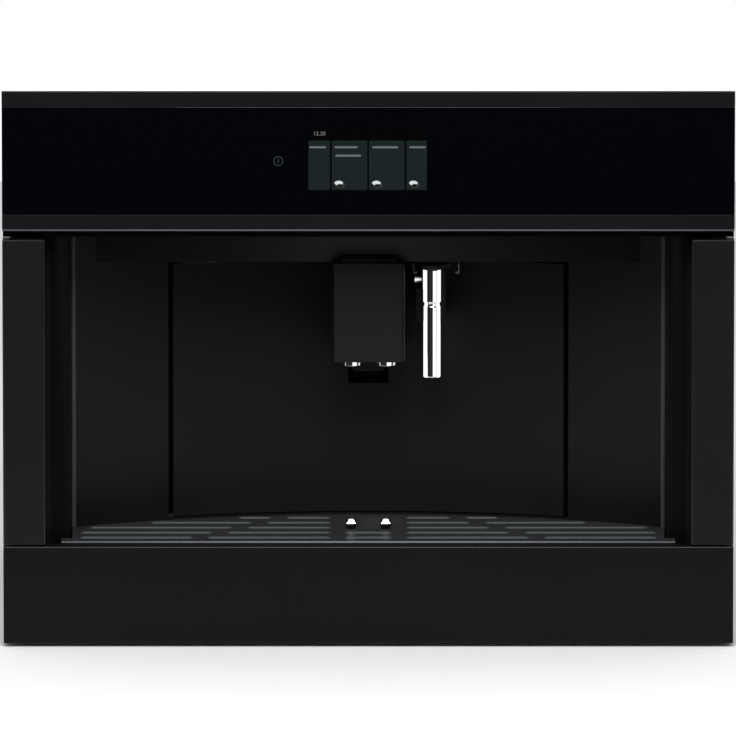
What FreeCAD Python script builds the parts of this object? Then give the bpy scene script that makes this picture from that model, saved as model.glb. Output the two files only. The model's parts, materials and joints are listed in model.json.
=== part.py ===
"""Built-in coffee machine for a 600 mm cabinet, in millimetres.

X runs to the viewer's right, the front faces -Y and Z is up. The origin is under the middle
of the overall box, on the niche floor. The whole machine rides on telescopic runners; the
curved wall of its cup alcove holds a service door with the coffee and hot water spouts.
Depths are counted back from the front face with back(), heights up from the lower edge of
the front with up().
"""
import FreeCAD, Part
import math
import os
import re
import Sketcher

doc = FreeCAD.newDocument("CoffeeMachine")
sheet = doc.addObject("Spreadsheet::Sheet", "Sizes")

DRIVING = {
    # the whole machine
    "front_width": 595.0, "front_height": 455.0, "machine_depth": 475.0, "floor_gap": 3.0,
    # the carcase behind the front
    "body_width": 528.0, "body_bottom": 5.0, "body_height": 361.0, "sheet_metal": 1.5,
    "frame_depth": 32.0, "frame_thickness": 3.0, "frame_width": 584.0,
    # plinth panel and pull-out handles
    "plinth_height": 80.3, "plinth_depth": 14.0, "panel_skin": 2.0, "edge_bevel": 0.9,
    "handle_width": 34.6, "handle_lip": 8.0, "handle_wall": 2.5, "handle_top": 332.6,
    "seam": 1.4,
    # control panel
    "control_bottom": 340.0, "trim_height": 13.0, "glass_thickness": 4.0, "glass_recess": 0.3,
    "lip_height": 2.2, "top_slope": 6.0, "display_width": 96.0, "display_height": 52.0,
    "display_centre": 398.0, "board_thickness": 1.6,
    # cup alcove
    "alcove_width": 488.0, "alcove_face": 30.0, "alcove_depth": 146.0, "alcove_radius": 513.0,
    "alcove_top": 335.0, "alcove_wall": 3.0, "alcove_corner": 8.0, "flange_width": 14.0,
    "well_floor": 51.0, "header_depth": 95.0, "header_bottom": 300.0, "header_thickness": 3.0,
    # service door
    "door_width": 321.8, "door_gap": 3.3, "door_bottom": 84.4, "door_top": 294.0,
    "door_thickness": 10.0, "hinge_inset": 5.5, "hinge_setback": 5.2, "pin_radius": 1.75,
    "pin_play": 0.06, "pin_bite": 9.0, "bracket_thickness": 4.0, "bracket_length": 30.0,
    "bracket_width": 16.0, "bracket_end": 20.0, "door_lift": 1.2, "magnet_height": 192.0,
    "magnet_size": 24.0, "magnet_hold": 14.0, "magnet_seat": 12.0,
    # coffee spout
    "spout_width": 59.4, "spout_front": 70.0, "spout_bottom": 220.7, "spout_top": 302.6,
    "spout_wall": 2.0, "spout_round": 5.0, "neck_width": 45.4, "neck_height": 3.6,
    "nozzle_radius": 8.2, "nozzle_pitch": 28.3, "nozzle_depth": 82.0, "nozzle_drop": 4.4,
    "slot_width": 33.0, "slot_corner": 1.2, "slot_bottom": 191.4, "slot_top": 289.0,
    "spout_travel": 55.0, "slide_play": 0.5, "keeper_width": 44.0, "keeper_thickness": 3.0,
    # hot water spout
    "water_x": 55.7, "water_height": 288.6, "plate_width": 39.0, "plate_height": 9.8,
    "stub_radius": 4.0, "stub_reach": 25.0, "tube_x": 52.1, "tube_depth": 97.0,
    "sleeve_radius": 7.3, "tube_radius": 6.9, "tube_bore": 4.6, "sleeve_top": 294.0,
    "sleeve_bottom": 265.6, "tube_top": 262.0, "tube_bottom": 204.2, "cap_top": 297.4,
    "button_radius": 3.0, "button_reach": 5.8, "button_travel": 3.0,
    # drip tray and cup grille
    "grille_top": 82.0, "grille_thickness": 3.0, "tray_front": 15.0, "ledge_width": 501.0,
    "tray_wall": 2.2, "tray_play": 2.2, "slot_rows": 5.0, "slot_pitch": 23.6,
    "first_slot": 32.0, "slot_size": 9.0, "bridge_width": 10.5, "bridge_start": 73.6,
    "bridge_shift": 15.9, "centre_land": 60.0, "centre_slot": 40.0, "side_land": 8.0,
    "rear_land": 16.0, "inlet_width": 11.0, "inlet_length": 40.0, "inlet_proud": 1.2,
    # telescopic runners
    "rail_height": 45.0, "rail_width": 12.7, "rail_bottom": 12.0, "rail_start": 62.0,
    "rail_length": 400.0, "rail_sheet": 1.5, "rail_play": 0.45, "base_sheet": 2.0,
    "base_flange": 46.0, "screw_hole": 2.75, "screw_spacing": 320.0, "screw_inset": 11.0,
    # water tank
    "tank_width": 92.0, "tank_length": 172.0, "tank_height": 158.0, "tank_wall": 2.4,
    "tank_x": -208.0, "tank_depth": 172.0, "tank_lid_height": 3.0, "valve_radius": 7.0,
    # bean hopper, chute and grinder
    "hopper_width": 150.0, "hopper_length": 140.0, "hopper_height": 74.0, "hopper_wall": 2.2,
    "hopper_x": 165.0, "hopper_depth": 190.0, "lid_thickness": 3.0, "grinder_radius": 44.0,
    "grinder_height": 104.0, "chute_width": 36.0, "chute_x": 20.0, "chute_depth": 205.0,
    "knob_radius": 15.0, "knob_height": 13.0, "knob_x": 62.0,
    # brewing and grounds
    "infuser_width": 92.0, "infuser_length": 92.0, "infuser_height": 127.0,
    "infuser_depth": 182.0, "chamber_radius": 27.0, "bin_width": 150.0, "bin_length": 103.0,
    "bin_height": 66.0, "bin_wall": 2.0, "bin_depth": 168.0,
    # power and water inside
    "boiler_radius": 38.0, "boiler_height": 120.0, "pump_radius": 24.0, "pump_length": 96.0,
    "inlet_socket_width": 27.0, "inlet_socket_height": 20.0, "switch_width": 21.0,
    "switch_height": 15.0, "switch_tilt": 9.0, "fittings_x": -190.0, "inlet_height": 70.0,
    "main_switch_height": 104.0, "boiler_x": 170.0, "works_setback": 70.0, "boiler_cap": 10.0,
    "pump_x": 10.0, "pump_clearance": 6.0, "board_left": -110.0, "board_right": 60.0,
    "board_low": 130.0, "board_high": 250.0, "board_gap": 14.0, "board_post": 3.5,
    "core_length": 50.0, "core_depth": 40.0,
    # air slots in the rear
    "vent_x": 120.0, "vent_width": 70.0, "vent_height": 4.0, "vent_pitch": 11.0,
    "vent_rows": 8.0, "vent_drop": 40.0, "base_lip": 25.0,
}


def fill_sheet():
    """One row a size: its value in column A with the size's name as alias."""
    for row, (alias, value) in enumerate(DRIVING.items(), start=1):
        sheet.set(f"A{row}", str(value))
        sheet.setAlias(f"A{row}", alias)
    doc.recompute()


fill_sheet()
WORDS = re.compile(r"\b(" + "|".join(DRIVING) + r")\b")


def bound(text):
    """The same formula with every size read from the sheet."""
    return WORDS.sub(r"Sizes.\1", str(text))


def value(text):
    """The number that a formula gives now."""
    return float(sheet.evalExpression(bound(text)))


def back(depth):
    """Y at a depth behind the front face."""
    return f"({depth} - machine_depth / 2)"


def up(height):
    """Z at a height above the lower edge of the front."""
    return f"(floor_gap + {height})"


NODES = {}


def keep(node, thing):
    """Name a finished piece; its label is the name of its file."""
    thing.Label = node
    NODES[node] = thing
    return thing


def tie(thing, **formulas):
    """Bind properties to formulas; a double underscore stands for a dot."""
    for name, formula in formulas.items():
        thing.setExpression(name.replace("__", "."), bound(formula))


def box(name, x, y, z):
    """A block between two formulas on each axis."""
    brick = doc.addObject("Part::Box", name)
    tie(brick, Length=f"({x[1]}) - ({x[0]})", Width=f"({y[1]}) - ({y[0]})",
        Height=f"({z[1]}) - ({z[0]})", Placement__Base__x=x[0], Placement__Base__y=y[0],
        Placement__Base__z=z[0])
    return brick


TURNS = {"z": (0, 0, 1, 0), "x": (0, 1, 0, 90), "y": (1, 0, 0, -90)}


def rod(name, axis, radius, start, length):
    """A cylinder from the point start, length along +X, +Y or +Z."""
    cylinder = doc.addObject("Part::Cylinder", name)
    x, y, z, angle = TURNS[axis]
    turn = FreeCAD.Rotation(FreeCAD.Vector(x, y, z), angle)
    cylinder.Placement = FreeCAD.Placement(FreeCAD.Vector(), turn)
    tie(cylinder, Radius=radius, Height=length, Placement__Base__x=start[0],
        Placement__Base__y=start[1], Placement__Base__z=start[2])
    return cylinder


def fuse(name, *pieces):
    """One solid from several."""
    joined = doc.addObject("Part::MultiFuse", name)
    joined.Shapes = list(pieces)
    joined.Refine = True
    return joined


def cut(name, base, *tools):
    """The base with the tools taken away."""
    result = doc.addObject("Part::Cut", name)
    result.Base = base
    result.Tool = tools[0] if len(tools) == 1 else fuse(name + "_tools", *tools)
    result.Refine = True
    return result


def mirrored(name, piece):
    """The same piece on the other side of the machine's middle plane."""
    twin = doc.addObject("Part::Mirroring", name)
    twin.Source = piece
    twin.Base = FreeCAD.Vector(0, 0, 0)
    twin.Normal = FreeCAD.Vector(1, 0, 0)
    return twin


def both_sides(piece):
    """Keep a left piece and its mirror image on the right."""
    left = keep(piece.Name + "_left", piece)
    keep(piece.Name + "_right", mirrored(piece.Name + "_mirror", left))


def group(name, *pieces):
    """Several separate solids under one name."""
    together = doc.addObject("Part::Compound", name)
    together.Links = list(pieces)
    return together


PLANES = {"z": ("XY_Plane", 1), "y": ("XZ_Plane", -1), "x": ("YZ_Plane", 1)}


def extrusion(name, axis, outline, low, high):
    """A padded sketch: the outline's corners are formulas, its length runs low to high."""
    role, sign = PLANES[axis]
    body = doc.addObject("PartDesign::Body", name)
    sketch = body.newObject("Sketcher::SketchObject", name + "_outline")
    plane = next(f for f in body.Origin.OriginFeatures if f.Role == role)
    sketch.AttachmentSupport = [(plane, "")]
    sketch.MapMode = "FlatFace"
    start = low if sign > 0 else f"-({high})"
    tie(sketch, AttachmentOffset__Base__z=start)
    corners = [FreeCAD.Vector(value(a), value(b), 0) for a, b in outline]
    count = len(corners)
    for i in range(count):
        sketch.addGeometry(Part.LineSegment(corners[i], corners[(i + 1) % count]), False)
    for i in range(count):
        sketch.addConstraint(Sketcher.Constraint("Coincident", i, 2, (i + 1) % count, 1))
    for i, (across, along) in enumerate(outline):
        for kind, formula in (("DistanceX", across), ("DistanceY", along)):
            rule = Sketcher.Constraint(kind, -1, 1, i, 1, value(formula))
            number = sketch.addConstraint(rule)
            sketch.setExpression(f"Constraints[{number}]", bound(formula))
    pad = body.newObject("PartDesign::Pad", name + "_pad")
    pad.Profile = sketch
    tie(pad, Length=f"({high}) - ({low})")
    body.Tip = pad
    return body


def formed(name, shape):
    """A piece whose shape comes from curves that the sheet's sizes set."""
    piece = doc.addObject("Part::Feature", name)
    piece.Shape = shape
    return piece


# Plan curves of the alcove: two straight sides and one wide arc, closed by fillets.

def plan_y(radius, x):
    """Y of the alcove's arc, or of one parallel to it, at a distance x from the middle."""
    centre = value(back("alcove_depth - alcove_radius"))
    return centre + math.sqrt(radius ** 2 - x ** 2)


def arc_edge(radius, x0, x1):
    """The stretch of that arc between two X values."""
    ends = [FreeCAD.Vector(x, plan_y(radius, x), 0) for x in (x0, (x0 + x1) / 2, x1)]
    return Part.Arc(*ends).toShape()


def plan_solid(edges, low, high):
    """A closed plan outline raised from low to high."""
    face = Part.Face(Part.Wire(Part.__sortEdges__(edges)))
    solid = face.extrude(FreeCAD.Vector(0, 0, high - low))
    solid.translate(FreeCAD.Vector(0, 0, low))
    return solid


def upright_edges(shape, x, y):
    """The shape's vertical edges that stand at a point of the plan."""
    def stands(edge):
        return all(abs(v.X - x) < 1e-4 and abs(v.Y - y) < 1e-4 for v in edge.Vertexes)
    return [e for e in shape.Edges if stands(e)]


def alcove_solid(offset, front, low, high):
    """The alcove's room, grown by offset, from a front depth to the curved wall."""
    half = value("alcove_width / 2") + offset
    radius = value("alcove_radius") + offset
    y_front = value(back(front))
    y_side = plan_y(radius, half)
    corners = [FreeCAD.Vector(x, y, 0)
               for x, y in ((-half, y_side), (-half, y_front), (half, y_front), (half, y_side))]
    sides = [Part.LineSegment(a, b).toShape() for a, b in zip(corners, corners[1:])]
    solid = plan_solid(sides + [arc_edge(radius, -half, half)], value(low), value(high))
    hollows = upright_edges(solid, -half, y_side) + upright_edges(solid, half, y_side)
    return solid.makeFillet(value("alcove_corner") + offset, hollows)


def block(x, y, z):
    """A plain block between formulas, for cutting formed shapes."""
    low = FreeCAD.Vector(value(x[0]), value(y[0]), value(z[0]))
    size = [value(pair[1]) - value(pair[0]) for pair in (x, y, z)]
    return Part.makeBox(*size, low)


def post(x, y, low, high, radius):
    """A round post or hole, upright, between two heights."""
    base = FreeCAD.Vector(value(x), value(y), value(low))
    return Part.makeCylinder(value(radius), value(high) - value(low), base)


WELL_RIM = "(grille_top - grille_thickness - 2.8)"
WELL_FRONT = "(frame_depth + frame_thickness)"


def alcove_shell():
    """Side walls, curved wall, ceiling, tray well and front flange in one drawn shell."""
    wall = value("alcove_wall")
    outer = alcove_solid(wall, "alcove_face", up("well_floor - alcove_wall"),
                         up("alcove_top + alcove_wall"))
    room = alcove_solid(0, "alcove_face - 5", up(WELL_RIM), up("alcove_top"))
    well = alcove_solid(0, WELL_FRONT + " + alcove_wall", up("well_floor"), up("alcove_top"))
    below_rim = block(("-front_width", "front_width"),
                      (back("alcove_face - 5"), back(WELL_FRONT)),
                      (up("well_floor - 10"), up(WELL_RIM)))
    half = "(alcove_width / 2 + flange_width)"
    flange = block(("-" + half, half), (back("alcove_face"), back("alcove_face + 2")),
                   (up(WELL_RIM), up("alcove_top + alcove_wall")))
    shell = outer.fuse(flange).cut(room.fuse([well, below_rim]))
    door_half = "(door_width / 2 + door_gap)"
    doorway = block(("-" + door_half, door_half),
                    (back("alcove_depth / 2"), back("alcove_depth * 2")),
                    (up("door_bottom - 1"), up("header_bottom + 4")))
    keep("alcove_shell", formed("AlcoveShell", shell.cut(doorway).removeSplitter()))


def header_fascia():
    """Flat apron that hangs from the alcove's ceiling in front of the spout's upper end."""
    apron = block(("-alcove_width", "alcove_width"),
                  (back("header_depth"), back("header_depth + header_thickness")),
                  (up("header_bottom"), up("alcove_top")))
    room = alcove_solid(-0.1, "alcove_face", up("well_floor"), up("alcove_top"))
    keep("header_fascia", formed("HeaderFascia", apron.common(room)))


HINGE_X = "(-(door_width / 2) + hinge_inset)"


def hinge_y():
    """Y of the door's hinge axis, set back from the door's front surface."""
    return plan_y(value("alcove_radius"), value(HINGE_X)) + value("hinge_setback")


def door_band(offset, thickness, half, low, high):
    """A curved panel that follows the alcove's wall."""
    front = value("alcove_radius") + offset
    rear = front + thickness
    ends = [Part.LineSegment(FreeCAD.Vector(x, plan_y(front, x), 0),
                             FreeCAD.Vector(x, plan_y(rear, x), 0)).toShape()
            for x in (-half, half)]
    return plan_solid([arc_edge(front, -half, half), arc_edge(rear, -half, half)] + ends,
                      low, high)


def service_door():
    """Curved door, flush with the wall, with the spout's slot and the two hinge bores."""
    half = value("door_width / 2")
    low, high = value(up("door_bottom")), value(up("door_top"))
    panel = door_band(0, value("door_thickness"), half, low, high)
    edges = []
    for side in (-half, half):
        edges += upright_edges(panel, side, plan_y(value("alcove_radius"), side))
    panel = panel.makeFillet(1.5, edges)
    slot = block(("-slot_width / 2", "slot_width / 2"), (back("alcove_depth - 20"),
                 back("alcove_depth + 30")), (up("slot_bottom"), up("slot_top")))
    slot = slot.makeFillet(value("slot_corner"),
                           [e for e in slot.Edges if abs(e.tangentAt(0).y) > 0.9])
    y = hinge_y()
    bore = value("pin_radius + pin_play")
    bite = value("pin_bite") + 1
    x = value(HINGE_X)
    bores = [Part.makeCylinder(bore, bite, FreeCAD.Vector(x, y, z)) for z in (low, high - bite)]
    keep("service_door", formed("ServiceDoor", panel.cut([slot] + bores)))


def hinge_brackets():
    """Two plates behind the wall, each with a pin that carries the door."""
    x, y = value(HINGE_X), hinge_y()
    thick, lift = value("bracket_thickness"), value("door_lift")
    long, wide = value("bracket_length"), value("bracket_width")
    pin_length = thick + lift + value("pin_bite")
    beside_doorway = value("-(door_width / 2) - door_gap")
    levels = ((value(up("door_bottom")) - lift - thick, 1), (value(up("door_top")) + lift, -1))
    plates = []
    for low, pin_way in levels:
        corner = FreeCAD.Vector(x - value("bracket_end"), y - 1.0, low)
        plate = Part.makeBox(long, wide, thick, corner)
        start = low if pin_way > 0 else low + thick - pin_length
        pin = Part.makeCylinder(value("pin_radius"), pin_length, FreeCAD.Vector(x, y, start))
        wall = door_band(-1, value("alcove_wall") + 1.3, value("door_width"), low - 1,
                         low + thick + 1)
        if pin_way < 0:
            corner = FreeCAD.Vector(beside_doorway - 2 * long, y - 2 * long, low - 1)
            wall = wall.common(Part.makeBox(2 * long, 4 * long, thick + 2, corner))
        plates.append(formed("Bracket", plate.fuse(pin).cut(wall)))
    keep("hinge_brackets", group("HingeBrackets", *plates))


def catch():
    """Small magnet block on the wall behind the door's free edge."""
    edge = "(door_width / 2)"
    magnet = block((edge + " - magnet_hold", edge + " + magnet_seat"),
                   (back("alcove_depth - magnet_size - 4"), back("alcove_depth - 4")),
                   (up("magnet_height - magnet_size / 2"), up("magnet_height + magnet_size / 2")))
    reach = value("magnet_size") + 6
    low, high = value(up("door_bottom")), value(up("door_top"))
    clear = door_band(-reach, reach + value("door_thickness") + 0.4,
                      value("door_width / 2 + door_gap"), low, high)
    wall = door_band(-reach, reach + value("alcove_wall") + 0.1, value("door_width"), low, high)
    keep("door_magnet", formed("DoorMagnet", magnet.cut([clear, wall])))


SPOUT_HALF = "(spout_width / 2)"
REAR_TOP = "(header_bottom - 4)"
STEP_DEPTH = "(header_depth - 2)"
BASE_TOP = "(spout_bottom + 3.2)"


def spout_cover():
    """Deep-drawn hood of the coffee spout: rounded front corners, stepped under the apron."""
    half = SPOUT_HALF
    front = block(("-" + half, half), (back("spout_front"), back(STEP_DEPTH)),
                  (up("spout_bottom"), up("spout_top")))
    rear = block(("-" + half, half), (back("spout_front"), back("alcove_depth")),
                 (up("spout_bottom"), up(REAR_TOP)))
    hood = front.fuse(rear).removeSplitter()
    y_front = value(back("spout_front"))
    corners = [e for s in (-1, 1) for e in upright_edges(hood, s * value(half), y_front)]
    hood = hood.makeFillet(value("spout_round"), corners)
    inner = "(spout_width / 2 - spout_wall)"
    front = block(("-" + inner, inner),
                  (back("spout_front + spout_wall"), back(STEP_DEPTH + " - spout_wall")),
                  (up("spout_bottom - 1"), up("spout_top - spout_wall")))
    rear = block(("-" + inner, inner),
                 (back("spout_front + spout_wall"), back("alcove_depth + 1")),
                 (up("spout_bottom - 1"), up(REAR_TOP + " - spout_wall")))
    hollow = front.fuse(rear).removeSplitter()
    y_inner = value(back("spout_front + spout_wall"))
    inside = [e for s in (-1, 1) for e in upright_edges(hollow, s * value(inner), y_inner)]
    hollow = hollow.makeFillet(value("spout_round - spout_wall"), inside)
    neck = block(("-neck_width / 2", "neck_width / 2"), (back("spout_front + 2"), back(STEP_DEPTH)),
                 (up("spout_top"), up("spout_top + neck_height")))
    clear = alcove_solid(-1.0, "alcove_face", up("well_floor"), up("alcove_top"))
    keep("spout_cover", formed("SpoutCover", hood.cut(hollow).fuse(neck).common(clear)))


def spout_base():
    """Black underside of the spout with the milk bowl that hangs below it."""
    half = "(spout_width / 2 - spout_wall - 0.3)"
    plate = box("BasePlate", ("-" + half, half),
                (back("spout_front + spout_wall + 3.2"), back("alcove_depth - 9")),
                (up("spout_bottom"), up(BASE_TOP)))
    bowl = extrusion("MilkBowl", "y", [
        ("-slot_width / 2 + 5", up("spout_bottom - 11.2")),
        ("slot_width / 2 - 5", up("spout_bottom - 11.2")),
        ("slot_width / 2", up("spout_bottom - 5")), ("slot_width / 2", up("spout_bottom + 1")),
        ("-slot_width / 2", up("spout_bottom + 1")), ("-slot_width / 2", up("spout_bottom - 5"))],
        back("header_depth"), back("alcove_depth - 18"))
    outlets = [rod(f"Outlet{number}", "z", "nozzle_radius - 5.6",
                   (f"({side} * nozzle_pitch / 2)", back("nozzle_depth + 2.6"),
                    up("spout_bottom - 1")), f"{BASE_TOP} - spout_bottom + 2")
               for number, side in enumerate((-1, 1))]
    keep("spout_base", cut("SpoutBase", fuse("SpoutUnderside", plate, bowl), *outlets))


def spout_nozzles():
    """Two polished outlet rings under the spout."""
    rings = []
    for number, side in enumerate((-1, 1)):
        centre = (f"({side} * nozzle_pitch / 2)", back("nozzle_depth + 2.6"),
                  up("spout_bottom - nozzle_drop"))
        ring = rod(f"NozzleRing{number}", "z", "nozzle_radius", centre, "nozzle_drop")
        mouth = rod(f"NozzleMouth{number}", "z", "nozzle_radius - 1.6", centre, "nozzle_drop - 0.8")
        rings.append(cut(f"Nozzle{number}", ring, mouth))
    keep("spout_nozzles", group("SpoutNozzles", *rings))


def spout_carriage():
    """Slide that passes through the door's slot and is held by a keeper behind it."""
    half = "(slot_width / 2 - slide_play)"
    top = "(slot_top - 1)"
    low = "(slot_bottom + spout_travel + slide_play)"
    rear = "(alcove_depth + door_thickness + 0.5)"
    spine = box("CarriageSpine", ("-" + half, half),
                (back("header_depth + 12"), back("alcove_depth - 6")), (up(BASE_TOP), up(top)))
    slide = box("CarriageSlide", ("-" + half, half), (back("alcove_depth - 8"), back(rear)),
                (up(low), up(top)))
    keeper = box("CarriageKeeper", ("-keeper_width / 2", "keeper_width / 2"),
                 (back(rear), back(rear + " + keeper_thickness")), (up(low), up(top)))
    keep("spout_carriage", fuse("SpoutCarriage", spine, slide, keeper))


STUB_START = "(alcove_depth - 2)"


def water_connector():
    """Plate and spigot on the door that the hot water spout plugs on to."""
    half_w, half_h = "(plate_width / 2)", "(plate_height / 2)"
    plate = block((f"water_x - {half_w}", f"water_x + {half_w}"),
                  (back("alcove_depth - 9"), back("alcove_depth + 4")),
                  (up(f"water_height - {half_h}"), up(f"water_height + {half_h}")))
    start = FreeCAD.Vector(value("water_x"), value(back(STUB_START + " - stub_reach")),
                           value(up("water_height")))
    stub = Part.makeCylinder(value("stub_radius"), value("stub_reach") + 6, start,
                             FreeCAD.Vector(0, 1, 0))
    room = alcove_solid(0, "alcove_face", up("well_floor"), up("alcove_top"))
    passage = Part.makeCylinder(1.5, value("stub_reach") + 8, start - FreeCAD.Vector(0, 1, 0),
                                FreeCAD.Vector(0, 1, 0))
    keep("water_connector", formed("WaterConnector", plate.fuse(stub).common(room).cut(passage)))


BODY_FRONT = "(tube_depth + sleeve_radius + 0.4)"
BODY_REAR = "(alcove_depth - 9.6)"


def water_spout_body():
    """Black moulding with the socket for the spigot and the seat of the release button."""
    upper = block(("tube_x - 8.6", "water_x + 8"), (back(BODY_FRONT), back(BODY_REAR)),
                  (up("sleeve_bottom - 16.6"), up("sleeve_top")))
    bulge = block(("tube_x - 13", "tube_x"), (back(BODY_FRONT + " + 1"), back(BODY_REAR + " - 8")),
                  (up("sleeve_bottom - 16.6"), up("sleeve_bottom + 9.4")))
    moulding = upper.fuse(bulge).removeSplitter()
    mouth = FreeCAD.Vector(value("water_x"), value(back(STUB_START + " - stub_reach - 1.5")),
                           value(up("water_height")))
    socket = Part.makeCylinder(value("stub_radius + pin_play"), value("alcove_depth"), mouth,
                               FreeCAD.Vector(0, 1, 0))
    start = FreeCAD.Vector(value("tube_x - 8.7"), value(back(f"({BODY_FRONT} + {BODY_REAR}) / 2")),
                           value(up("sleeve_bottom + 16")))
    seat = Part.makeCylinder(value("button_radius + pin_play"), value("button_travel") + 3.0, start,
                             FreeCAD.Vector(1, 0, 0))
    keep("water_spout_body", formed("WaterSpoutBody", moulding.cut([socket, seat])))


def release_button():
    """Polished button that unlocks the hot water spout."""
    keep("release_button", rod("ReleaseButton", "x", "button_radius",
         ("tube_x - 8.6 - button_reach", back(f"({BODY_FRONT} + {BODY_REAR}) / 2"),
          up("sleeve_bottom + 16")), "button_reach + 2.6"))


def water_spout_cap():
    """Grey cap that joins the chrome sleeve to the moulding behind it."""
    cap = extrusion("SpoutCap", "z", [
        ("tube_x - sleeve_radius - 0.6", back("tube_depth - 3")),
        ("tube_x - 3", back("tube_depth - sleeve_radius - 0.6")),
        ("tube_x + 3", back("tube_depth - sleeve_radius - 0.6")),
        ("tube_x + sleeve_radius + 0.6", back("tube_depth - 3")),
        ("water_x + 11.5", back("tube_depth + 8")), ("water_x + 11.5", back(BODY_REAR + " - 2")),
        ("tube_x - sleeve_radius - 0.6", back(BODY_REAR + " - 2"))],
        up("sleeve_top"), up("cap_top"))
    keep("water_spout_cap", cap)


def water_tube():
    """Chrome sleeve and tube, turned in one piece with a groove between them."""
    outline = [("tube_bore", "sleeve_top"), ("sleeve_radius - 0.6", "sleeve_top"),
               ("sleeve_radius", "sleeve_top - 0.6"), ("sleeve_radius", "sleeve_bottom + 0.4"),
               ("sleeve_radius - 0.9", "sleeve_bottom"), ("sleeve_radius - 0.9", "tube_top"),
               ("tube_radius", "tube_top - 0.4"), ("tube_radius", "tube_bottom + 0.6"),
               ("tube_radius - 0.6", "tube_bottom"), ("tube_bore", "tube_bottom")]
    x, y = value("tube_x"), value(back("tube_depth"))
    corners = [FreeCAD.Vector(x + value(r), y, value(up(z))) for r, z in outline]
    face = Part.Face(Part.makePolygon(corners + corners[:1]))
    turned = face.revolve(FreeCAD.Vector(x, y, 0), FreeCAD.Vector(0, 0, 1), 360)
    keep("water_tube", formed("WaterTube", turned))


TRAY_RIM = "(grille_top - grille_thickness)"
BASIN_FRONT = "(frame_depth + frame_thickness + alcove_wall + tray_play)"


def drip_tray():
    """Basin that follows the curved wall, with a ledge and raised lip at the front."""
    play = value("tray_play")
    wall = value("tray_wall")
    basin = alcove_solid(-play, BASIN_FRONT, up("well_floor + 0.3"), up(TRAY_RIM))
    hollow = alcove_solid(-play - wall, BASIN_FRONT + " + tray_wall",
                          up("well_floor + 0.3 + tray_wall"), up(TRAY_RIM + " + 1"))
    half = "(ledge_width / 2)"
    behind = "(alcove_width / 2 - tray_play)"
    ledge = block(("-" + half, half), (back("tray_front"), back("alcove_face - 0.6")),
                  (up(WELL_RIM + " + 0.6"), up(TRAY_RIM)))
    bridge = block(("-" + behind, behind), (back("alcove_face - 1"), back(BASIN_FRONT + " + 0.1")),
                   (up(WELL_RIM + " + 0.6"), up(TRAY_RIM)))
    lip = block(("-" + half, half), (back("tray_front"), back("tray_front + 2.4")),
                (up(WELL_RIM + " + 0.6"), up("grille_top")))
    tray = basin.cut(hollow).fuse([ledge, bridge, lip])
    keep("drip_tray", formed("DripTray", tray.removeSplitter()))


def slot_cells():
    """X ranges and depth of every drain slot: rows of two, split by bridges that step outward."""
    half = value("alcove_width / 2")
    for row in range(int(value("slot_rows"))):
        depth = value("first_slot") + row * value("slot_pitch")
        from_front = value("slot_rows") - 1 - row
        split = value("bridge_start") + from_front * value("bridge_shift")
        reach = value("alcove_radius") ** 2 - (depth + value("slot_size / 2")
                                               - value("alcove_depth - alcove_radius")) ** 2
        end = min(half - value("side_land"), math.sqrt(max(reach, 0.0)) - value("rear_land"))
        inner = value("centre_land / 2")
        bridge = value("bridge_width / 2")
        for a, b in ((inner, split - bridge), (split + bridge, end)):
            yield depth, a, b
            yield depth, -b, -a
        if row < 2:
            yield depth, -value("centre_slot / 2"), value("centre_slot / 2")


def cup_grille():
    """Slotted plate that carries the cups."""
    low, high = up(TRAY_RIM), up("grille_top")
    rear = alcove_solid(-value("tray_play"), "alcove_face - 0.6", low, high)
    half = "(ledge_width / 2)"
    front = block(("-" + half, half), (back("tray_front + 2.8"), back("alcove_face - 0.5")),
                  (low, high))
    plate = rear.fuse(front).removeSplitter()
    deep = value("slot_size")
    z, tall = value(low) - 1, value("grille_thickness") + 2
    slots = [Part.makeBox(b - a, deep, tall, FreeCAD.Vector(a, value(back(d)) - deep / 2, z))
             for d, a, b in slot_cells()]
    keep("cup_grille", formed("CupGrille", plate.cut(slots + inlet_holes())))


def inlet_holes():
    """The two drain inlets' openings, under the coffee nozzles."""
    wide, long = value("inlet_width - 4"), value("inlet_length / 2")
    y = value(back("nozzle_depth - 8"))
    return [Part.makeBox(wide, long, 10, FreeCAD.Vector(
        side * value("nozzle_pitch / 2") - wide / 2, y, value(up(TRAY_RIM)) - 1))
        for side in (-1, 1)]


def drain_inlets():
    """Two polished frames that line the inlets, a little proud of the grille."""
    frames = []
    for side in (-1, 1):
        x = f"({side} * nozzle_pitch / 2)"
        frame = block((f"{x} - inlet_width / 2", f"{x} + inlet_width / 2"),
                      (back("nozzle_depth - 10"), back("nozzle_depth - 10 + inlet_length")),
                      (up("grille_top"), up("grille_top + inlet_proud")))
        corners = [e for e in frame.Edges if abs(e.tangentAt(0).z) > 0.9]
        frames.append(formed("Inlet", frame.makeFillet(3.0, corners).cut(inlet_holes())))
    keep("drain_inlets", group("DrainInlets", *frames))


HALF_FRONT = "(front_width / 2)"
HALF_BODY = "(body_width / 2)"
BODY_TOP = "(body_bottom + body_height)"
REAR = "(machine_depth - 1.5)"
PANEL_BACK = "(frame_depth + frame_thickness)"


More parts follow.
